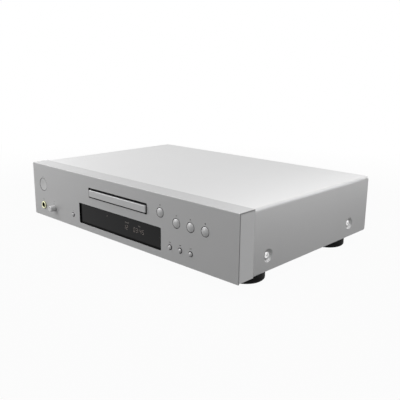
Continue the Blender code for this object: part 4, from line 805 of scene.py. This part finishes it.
def make_display():
    """The lit figures, the two words over them and the lit dot, just before the pane's face."""
    figure_height = 6.6 * mm
    figure_base = 21.4 * mm
    dot = 0.8 * mm
    dot_x = 41.5 * mm
    label_size = 2.6 * mm
    label_base = 30.4 * mm
    print_middle = pane_face - ink_gap - ink_depth / 2
    bm = bmesh.new()
    for value, x in (("1", 10.5), ("2", 15.5), ("0", 31.0), ("3", 36.0), ("4", 43.8), ("5", 48.8)):
        add_digit(bm, value, x * mm, figure_base, figure_height)
    for dot_z in (23.2 * mm, 25.6 * mm):
        merge(bm, printed_bar(dot_x, dot_z, dot_x + dot, dot_z + dot))
    finish_piece("display_figures", bm, (digit_glow,), "casing", (),
                 place=datum + Vector((0, pane_face - ink_gap, 0)), smooth=20.0)
    for text, x in (("TRACK", 17.5 * mm), ("TIME", 43.0 * mm)):
        word("display_" + text.lower(), text, label_size, (x, print_middle, label_base), label_glow)
    lamp = printed_disc(0.7 * mm, 24)
    finish_piece("display_lamp", lamp, (label_glow,), "casing", (), turn=to_front,
                 place=datum + Vector((-26.6 * mm, print_middle, 31.9 * mm)))


# Signs over the controls, in outlines that all players share, in mm and degrees:
# how high a sign is over its control, its bars (middle, width and height)
# and its arrows (middle, size and turn)
signs = {
    "open_button": (9.7, [(0, -0.65, 1.8, 0.4)], [(0, 0.45, 1.05, 0)]),
    "play_button": (9.7, [], [(0, 0, 1.15, -90)]),
    "pause_button": (9.7, [(-0.6, 0, 0.6, 1.9), (0.6, 0, 0.6, 1.9)], []),
    "stop_button": (9.7, [(0, 0, 1.7, 1.7)], []),
    "skip_back_button": (6.6, [(-1.7, 0, 0.35, 1.4)], [(-0.7, 0, 0.85, 90), (0.7, 0, 0.85, 90)]),
    "skip_forward_button": (6.6, [(1.7, 0, 0.35, 1.4)], [(-0.7, 0, 0.85, -90), (0.7, 0, 0.85, -90)]),
    "repeat_button": (6.6, [(0, -0.6, 2.8, 0.3), (0, 0.6, 2.8, 0.3), (-1.4, 0, 0.3, 1.5)],
                      [(1.4, 0.6, 0.7, -90)]),
    "power_button": (12.9, [(0, 0, 0.5, 1.8)], []),
    "level_knob": (6.4, [(0, 4.4, 4.6, 0.25)], [(-1.0, 0, 1.1, 0)]),
    "dimmer_button": (6.2, [(0, 0, 2.0, 0.4)], []),
    "headphone_bush": (9.2, [(0, 0.6, 2.4, 0.3), (-1.2, -0.15, 0.6, 1.3), (1.2, -0.15, 0.6, 1.3)], []),
}


def print_signs():
    bm = bmesh.new()
    for node, (rise, bars, arrows) in signs.items():
        middle = front_place(node) - datum + Vector((0, 0, rise * mm))
        for x, z, width, height in bars:
            low = middle + Vector((x - width / 2, 0, z - height / 2)) * mm
            high = middle + Vector((x + width / 2, 0, z + height / 2)) * mm
            merge(bm, printed_bar(low.x, low.z, high.x, high.z))
        for x, z, size, turn in arrows:
            arrow = printed_disc(size * mm, 3)
            place = middle + Vector((x * mm, -ink_depth / 2, z * mm))
            spin = Matrix.Rotation(math.radians(turn), 4, "Z")
            matrix = Matrix.Translation(place) @ to_front.to_matrix().to_4x4() @ spin
            bmesh.ops.transform(arrow, matrix=matrix, verts=arrow.verts)
            merge(bm, arrow)
    finish_piece("printed_signs", bm, (grey_ink,), "casing", (), place=datum, smooth=20.0)


# Buttons, knob and headphone ring

# Crowns of the buttons from the middle out: share of the cap's radius, and mm before the front's face
power_crown = ((0.0, -0.95), (0.3, -0.88), (0.6, -0.63), (0.82, -0.32), (0.92, -0.15), (0.97, -0.07),
               (1.0, -0.2))
big_crown = ((0.0, 2.0), (0.25, 1.89), (0.5, 1.55), (0.7, 1.08), (0.84, 0.64), (0.93, 0.32),
             (0.98, 0.08), (1.0, -0.15))
small_crown = ((0.0, 2.0), (0.3, 1.94), (0.55, 1.73), (0.75, 1.4), (0.88, 1.02), (0.96, 0.6), (1.0, 0.15))


def make_button(node, crown, gap):
    """A turned cap with its crown, painted black below it as shade in the gap round it, with a flange behind
    the plate and a stem.
    """
    hole = hole_radius[node] / mm
    radius = hole - gap
    flange = hole + 1.1
    flange_front = -4.5
    flange_back = -5.7
    stem = 1.8
    stem_end = -9.2
    bm = turned([(share * radius, z) for share, z in crown] + [
        (radius, flange_front), (flange, flange_front), (flange, flange_back),
        (stem, flange_back), (stem, stem_end), (0.0, stem_end)])
    # Painted shade: the cap's side, flange and stem are painted black.
    crown_low = min(z for share, z in crown) * mm
    paint(bm, 1, lambda centre: centre.z < crown_low)
    finish_piece(node + "_cap", bm, (button_metal, black_and_painted_shade), node, (node,), turn=to_front,
                 place=front_place(node), smooth=40.0)


def make_buttons():
    make_button("power_button", power_crown, 0.6)
    for node in big_buttons:
        make_button(node, big_crown, 0.6)
    for node in small_buttons:
        make_button(node, small_crown, 0.9)


def make_knob():
    """The turned knob, hollow behind, with a printed line on its face."""
    place = front_place("level_knob")
    bm = turned(((0.0, 9.2), (3.6, 9.2), (4.1, 9.12), (4.45, 8.9), (4.68, 8.55), (4.78, 8.1), (4.8, 7.6),
                 (4.8, 1.1), (4.7, 0.9), (4.7, 0.3), (3.2, 0.3), (3.2, 7.0), (0.0, 7.0)))
    knob_metal = turned_metal("turned_knob", (0.72, 0.72, 0.722), 0.3, place)
    finish_piece("knob_cap", bm, (knob_metal,), "level_knob", ("level_knob",), turn=to_front,
                 place=place, smooth=30.0)
    mark_low = Vector((-0.3, -9.26, 1.4)) * mm
    mark_high = Vector((0.3, -9.1, 3.6)) * mm
    mark = cuboid(mark_low, mark_high, 0.02 * mm, 1)
    finish_piece("knob_mark", mark, (grey_ink,), "level_knob", (), place=place)


def make_headphone_ring():
    """The gold ring of the headphone socket, painted black inside as the shade of its bore."""
    bore = 4.0 * mm
    bm = turned(((3.3, -0.5), (4.0, 1.2), (4.1, 1.6), (4.3, 1.8), (4.6, 1.85), (5.2, 1.85), (5.5, 1.78),
                 (5.7, 1.6), (5.8, 1.3), (5.8, -4.5), (3.3, -4.5)))
    # Painted shade: the bore is painted black.
    paint(bm, 1, lambda centre: math.hypot(*centre.xy) < bore)
    finish_piece("jack_ring", bm, (pale_gold, black_and_painted_shade), "casing", ("headphone_bush",),
                 turn=to_front, place=front_place("headphone_bush"), smooth=40.0)


# Screws and feet

# Each kind of screw: radius and height of its head, radius and length of its shank
side_screw = (4.3 * mm, 1.8 * mm, 1.9 * mm, 5.0 * mm)
foot_screw = (3.6 * mm, 2.3 * mm, 1.5 * mm, 12.0 * mm)
rear_screw = (3.6 * mm, 1.8 * mm, 1.5 * mm, 5.0 * mm)

# The round of a screw's head: shares of its radius and height
head_round = ((0.6, 1.0), (0.72, 0.96), (0.83, 0.86), (0.92, 0.70), (0.98, 0.48), (1.0, 0.25), (1.0, 0.0))


def cross_head(radius, height, shank_radius, length):
    """A round-headed screw with a cross recess, standing on the plane of its seat."""
    bm = bmesh.new()
    arm = radius * 0.1
    reach = radius * 0.52
    quarter = ((arm, arm), (arm, reach), (-arm, reach))
    turns = [Matrix.Rotation(step * math.pi / 2, 2) for step in range(4)]
    cross = [bm.verts.new((*(turn @ Vector(point)), height)) for turn in turns for point in quarter]
    cross_edges = [bm.edges.new((cross[i - 1], cross[i])) for i in range(len(cross))]
    ring = loop_circle(bm, Vector((0, 0, height)), radius * head_round[0][0], Euler((0, 0, 0)))
    bmesh.ops.triangle_fill(bm, edges=cross_edges + ring, use_beauty=True, normal=(0, 0, 1))
    for (last_share, last_rise), (share, rise) in zip(head_round, head_round[1:]):
        wider = share / last_share
        ring = step_ring(bm, ring, (0, 0, (rise - last_rise) * height), (wider, wider, 1.0))
    narrower = shank_radius / radius
    ring = step_ring(bm, ring, (0, 0, 0), (narrower, narrower, 1.0))
    ring = grow_edge(bm, ring, (0, 0, -length))
    bmesh.ops.contextual_create(bm, geom=ring)
    floor = step_ring(bm, cross_edges, (0, 0, -height * 0.75), (0.8, 0.8, 1.0))
    bmesh.ops.triangle_fill(bm, edges=floor, use_beauty=True, normal=(0, 0, 1))
    bmesh.ops.recalc_face_normals(bm, faces=bm.faces)
    return bm


def add_screw(node, kind, place, turn):
    finish_piece(node + "_head", cross_head(*kind), (screw_metal,), "casing", (node,), turn=turn,
                 place=place, smooth=40.0)


def make_screws():
    """The screws' heads, each on its seat in the cover's dishes, the feet or the back."""
    side_seat = half_width - 3.1 * mm
    foot_seat = 2.4 * mm
    rear_seat = datum.y + cover_back + 0.3 * mm
    for corner in corners:
        node = "side_screw_" + corner
        centre = node_centre(node)
        if corner.endswith("right"):
            add_screw(node, side_screw, Vector((side_seat, centre.y, centre.z)), to_right)
        else:
            add_screw(node, side_screw, Vector((-side_seat, centre.y, centre.z)), to_left)
        node = "foot_screw_" + corner
        place = node_centre(node)
        place.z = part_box(node)[0].z + foot_seat
        add_screw(node, foot_screw, place, upside_down)
    for side in sides:
        node = "rear_screw_" + side
        place = node_centre(node)
        place.y = rear_seat
        add_screw(node, rear_screw, place, to_back)


def make_feet():
    """Round feet with a groove round them and a hollow for the screw."""
    rim = ((1.9, 17.1), (24.6, 17.1), (25.0, 16.9), (25.2, 16.5), (25.2, 6.4), (24.9, 6.1), (24.9, 5.5),
           (25.2, 5.2), (25.2, 2.6), (25.0, 1.9), (24.3, 1.0), (23.3, 0.3), (22.6, 0.0), (9.3, 0.0),
           (9.0, 0.3), (9.0, 11.0), (1.9, 11.0))
    for corner in corners:
        node = "foot_" + corner
        place = node_centre(node)
        place.z = 0.0
        finish_piece(node + "_pad", turned(rim, 96), (foot_rubber,), "casing", (node,),
                     place=place, smooth=40.0)


# Back: sockets with their coloured collars, the inlet's pins, the plug and the pale print

def make_sockets():
    """Each socket's gold shell, its body behind the panel, and its collar and insert in one colour."""
    shell = ((3.25, 8.7), (3.4, 9.0), (3.95, 9.0), (4.2, 8.8), (4.25, 8.4), (4.25, 2.6), (4.4, 2.4),
             (4.4, -1.0), (3.25, -1.0))
    collar = ((4.45, 0.1), (4.45, 2.2), (5.0, 2.2), (5.4, 2.05), (5.6, 1.7), (5.6, 1.4), (5.9, 1.3),
              (6.0, 1.1), (6.0, 0.1))
    insert = ((1.7, 7.9), (2.0, 8.1), (3.0, 8.1), (3.2, 7.9), (3.2, 0.0), (0.0, 0.0), (0.0, 2.0),
              (1.7, 2.0))
    body_low = Vector((-6.0, -6.0, -13.3)) * mm
    body_high = Vector((6.0, 15.1, -1.3)) * mm
    for node, ring in (("phono_socket_right", red_ring), ("phono_socket_left", white_ring),
                       ("coaxial_socket", orange_ring)):
        place = Vector((node_centre(node).x, datum.y + rear_face, datum.z + socket_rise))
        bm = turned(shell)
        merge(bm, cuboid(body_low, body_high, 0.3 * mm), 2)
        for profile in (collar, insert):
            merge(bm, turned(profile), 1)
        finish_piece(node + "_shell", bm, (gold_plate, ring, moulding), "casing", (node,),
                     turn=to_back, place=place, smooth=40.0)


def make_inlet_pins():
    """Two round-ended pins, recessed in the mains inlet."""
    spacing = 12.0 * mm
    pin = ((0.0, -1.45), (0.5, -1.5), (0.95, -1.75), (1.2, -2.3), (1.26, -3.0), (1.26, -13.0), (0.0, -13.0))
    for share, name in ((-0.5, "left"), (0.5, "right")):
        place = node_centre("mains_inlet")
        place.x += share * spacing
        place.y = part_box("mains_inlet")[1].y
        finish_piece("inlet_pin_" + name, turned(pin, 32), (can_steel,), "casing", (),
                     turn=to_back, place=place, smooth=40.0)


def make_optical_plug():
    """The rubber plug in the optical outlet, with its finger grip."""
    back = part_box("optical_socket")[1].y
    place = Vector((node_centre("optical_socket").x, back, datum.z + socket_rise))
    plug_low = Vector((-3.6, -0.2, -3.6)) * mm
    plug_high = Vector((3.6, 0.9, 3.6)) * mm
    grip_low = Vector((-0.9, 0.6, -2.8)) * mm
    grip_high = Vector((0.9, 3.4, 2.8)) * mm
    bm = cuboid(plug_low, plug_high, 0.4 * mm, 3)
    merge(bm, cuboid(grip_low, grip_high, 0.5 * mm, 3))
    finish_piece("optical_plug", bm, (foot_rubber,), "casing", (), place=place, smooth=40.0)


def print_back():
    """Fine pale frames round the sockets, and the letters of the two channels."""
    line = 0.35 * mm
    low_z = 19.0 * mm
    high_z = 47.0 * mm
    bm = bmesh.new()
    for low_x, high_x in ((129.0 * mm, 168.0 * mm), (72.0 * mm, 115.0 * mm)):
        for start_x, start_z, end_x, end_z in (
            (low_x, low_z, high_x, low_z + line),
            (low_x, high_z - line, high_x, high_z),
            (low_x, low_z, low_x + line, high_z),
            (high_x - line, low_z, high_x, high_z),
        ):
            merge(bm, cuboid((start_x, 0.0, start_z), (end_x, ink_depth, end_z)))
    finish_piece("back_frames", bm, (pale_ink,), "casing", (),
                 place=datum + Vector((0, rear_face, 0)), smooth=20.0)
    letter_size = 4.2 * mm
    letter_base = 40.5 * mm
    for letter, x in (("R", 157.5 * mm), ("L", 137.5 * mm)):
        place = (x, rear_face + ink_depth / 2, letter_base)
        word("back_letter_" + letter.lower(), letter, letter_size, place, pale_ink,
             read_from_behind)


make_front_plate()
make_cover()
make_end_caps()
make_tray_door()
make_pane()
make_display()
make_buttons()
make_knob()
make_headphone_ring()
print_signs()
make_screws()
make_feet()
make_sockets()
make_inlet_pins()
make_optical_plug()
print_back()

# Finishes of the pieces that keep their own shape
kept = {
    "bottom_chassis": zinc, "clamp_bridge": zinc, "rear_panel": dark_steel, "front_subframe": black_and_painted_shade,
    "display_tube": tube_glass, "control_board": control_green, "main_board": main_green,
    "headphone_socket": moulding, "optical_socket": moulding, "mains_inlet": moulding,
    "level_potentiometer": can_steel, "loading_motor": can_steel, "spindle_motor": can_steel,
    "disc_tray": tray_plastic, "loader_frame": moulding, "drive_gear": white_plastic,
    "motor_pulley": white_plastic, "clamper": white_plastic, "loading_belt": belt_rubber,
    "transformer": core, "traverse_frame": grey_plastic, "turntable": moulding, "laser_sled": moulding,
    "guide_rod_left": can_steel, "guide_rod_right": can_steel,
}
for node, material in kept.items():
    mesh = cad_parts[node].data
    mesh.materials.clear()
    mesh.materials.append(material)


# Camera, as the photograph was taken
view = bpy.data.cameras.new("camera")
view.lens = 49.81
view.sensor_width = 36.0
camera = bpy.data.objects.new("camera", view)
camera.location = (0.58767, -0.59791, 0.2609)
camera.rotation_euler = (math.radians(75.819), math.radians(-0.516), math.radians(43.777))
bpy.context.scene.collection.objects.link(camera)
bpy.context.scene.camera = camera


# Floor, background and light

def seen_directly(tree):
    """One for rays from the camera, or through a mirror or glass, and nought for the rest."""
    path = tree.nodes.new("ShaderNodeLightPath")
    glossy = math_node(tree, "MAXIMUM")
    clear = math_node(tree, "MAXIMUM")
    join_nodes(
        tree,
        (path.outputs["Is Camera Ray"], glossy.inputs[0]),
        (path.outputs["Is Glossy Ray"], glossy.inputs[1]),
        (glossy.outputs["Value"], clear.inputs[0]),
        (path.outputs["Is Transmission Ray"], clear.inputs[1]),
    )
    return clear.outputs["Value"]


def make_floor():
    """A white floor that lets a little shadow through near the player and none further off."""
    half_size = 6.0
    near_reach = 0.35
    far_reach = 1.0
    near_white = 0.96
    bm = bmesh.new()
    bmesh.ops.create_grid(bm, x_segments=1, y_segments=1, size=half_size)
    mesh = bpy.data.meshes.new("floor")
    bm.to_mesh(mesh)
    bm.free()
    floor = bpy.data.objects.new("floor", mesh)
    bpy.context.scene.collection.objects.link(floor)
    material = bpy.data.materials.new("pale_floor")
    material.use_nodes = True
    tree = material.node_tree
    tree.nodes.clear()
    matte = tree.nodes.new("ShaderNodeBsdfDiffuse")
    matte.inputs["Color"].default_value = (0.25, 0.25, 0.25, 1.0)
    white = tree.nodes.new("ShaderNodeEmission")
    white.inputs["Strength"].default_value = 1.0
    reach = tree.nodes.new("ShaderNodeVectorMath")
    reach.operation = "LENGTH"
    whiteness = tree.nodes.new("ShaderNodeMapRange")
    whiteness.interpolation_type = "SMOOTHSTEP"
    whiteness.inputs["From Min"].default_value = near_reach
    whiteness.inputs["From Max"].default_value = far_reach
    whiteness.inputs["To Min"].default_value = near_white
    whiteness.inputs["To Max"].default_value = 1.0
    share = math_node(tree, "MULTIPLY")
    mix = tree.nodes.new("ShaderNodeMixShader")
    result = tree.nodes.new("ShaderNodeOutputMaterial")
    join_nodes(
        tree,
        (object_place(tree), reach.inputs[0]),
        (reach.outputs["Value"], whiteness.inputs["Value"]),
        (seen_directly(tree), share.inputs[0]),
        (whiteness.outputs["Result"], share.inputs[1]),
        (share.outputs["Value"], mix.inputs["Fac"]),
        (matte.outputs["BSDF"], mix.inputs[1]),
        (white.outputs["Emission"], mix.inputs[2]),
        (mix.outputs["Shader"], result.inputs["Surface"]),
    )
    mesh.materials.append(material)


def plain_background(tree, strength):
    node = tree.nodes.new("ShaderNodeBackground")
    node.inputs["Color"].default_value = (1.0, 1.0, 1.0, 1.0)
    node.inputs["Strength"].default_value = strength
    return node.outputs["Background"]


def make_world(soft_level):
    """A background that is white where it is seen and gives the player only a little light."""
    world = bpy.data.worlds.new("studio")
    bpy.context.scene.world = world
    world.use_nodes = True
    tree = world.node_tree
    tree.nodes.clear()
    mix = tree.nodes.new("ShaderNodeMixShader")
    result = tree.nodes.new("ShaderNodeOutputWorld")
    join_nodes(
        tree,
        (seen_directly(tree), mix.inputs["Fac"]),
        (plain_background(tree, soft_level), mix.inputs[1]),
        (plain_background(tree, 1.0), mix.inputs[2]),
        (mix.outputs["Shader"], result.inputs["Surface"]),
    )


def add_lamp(name, place, aim, size, power):
    lamp = bpy.data.lights.new(name, "AREA")
    lamp.shape = "RECTANGLE"
    lamp.size, lamp.size_y = size
    lamp.energy = power
    stand = bpy.data.objects.new(name, lamp)
    stand.location = place
    stand.rotation_euler = (Vector(aim) - Vector(place)).to_track_quat("-Z", "Y").to_euler()
    stand.visible_camera = False
    bpy.context.scene.collection.objects.link(stand)


bpy.context.scene.view_settings.view_transform = "Standard"
make_floor()
make_world(soft_level=0.02)
add_lamp("overhead", (-0.12, 0.05, 1.2), aim=(-0.05, 0.0, 0.0), size=(1.2, 1.2), power=3.7)
add_lamp("upper_right", (0.75, 0.0, 1.25), aim=(0.1, 0.0, 0.05), size=(0.9, 0.9), power=3.9)
add_lamp("upper_left", (-1.0, -0.2, 0.75), aim=(-0.1, 0.0, 0.05), size=(1.8, 1.3), power=5.7)
add_lamp("front_left", (-0.5, -0.6, 0.5), aim=(-0.05, -0.15, 0.05), size=(0.9, 0.8), power=4.6)
add_lamp("right_strip", (0.30, 0.06, 0.21), aim=(0.2, 0.06, 0.08), size=(0.6, 0.06), power=0.32)
add_lamp("rear", (0.25, 1.0, 1.0), aim=(0.1, 0.0, 0.08), size=(0.8, 0.8), power=1.0)
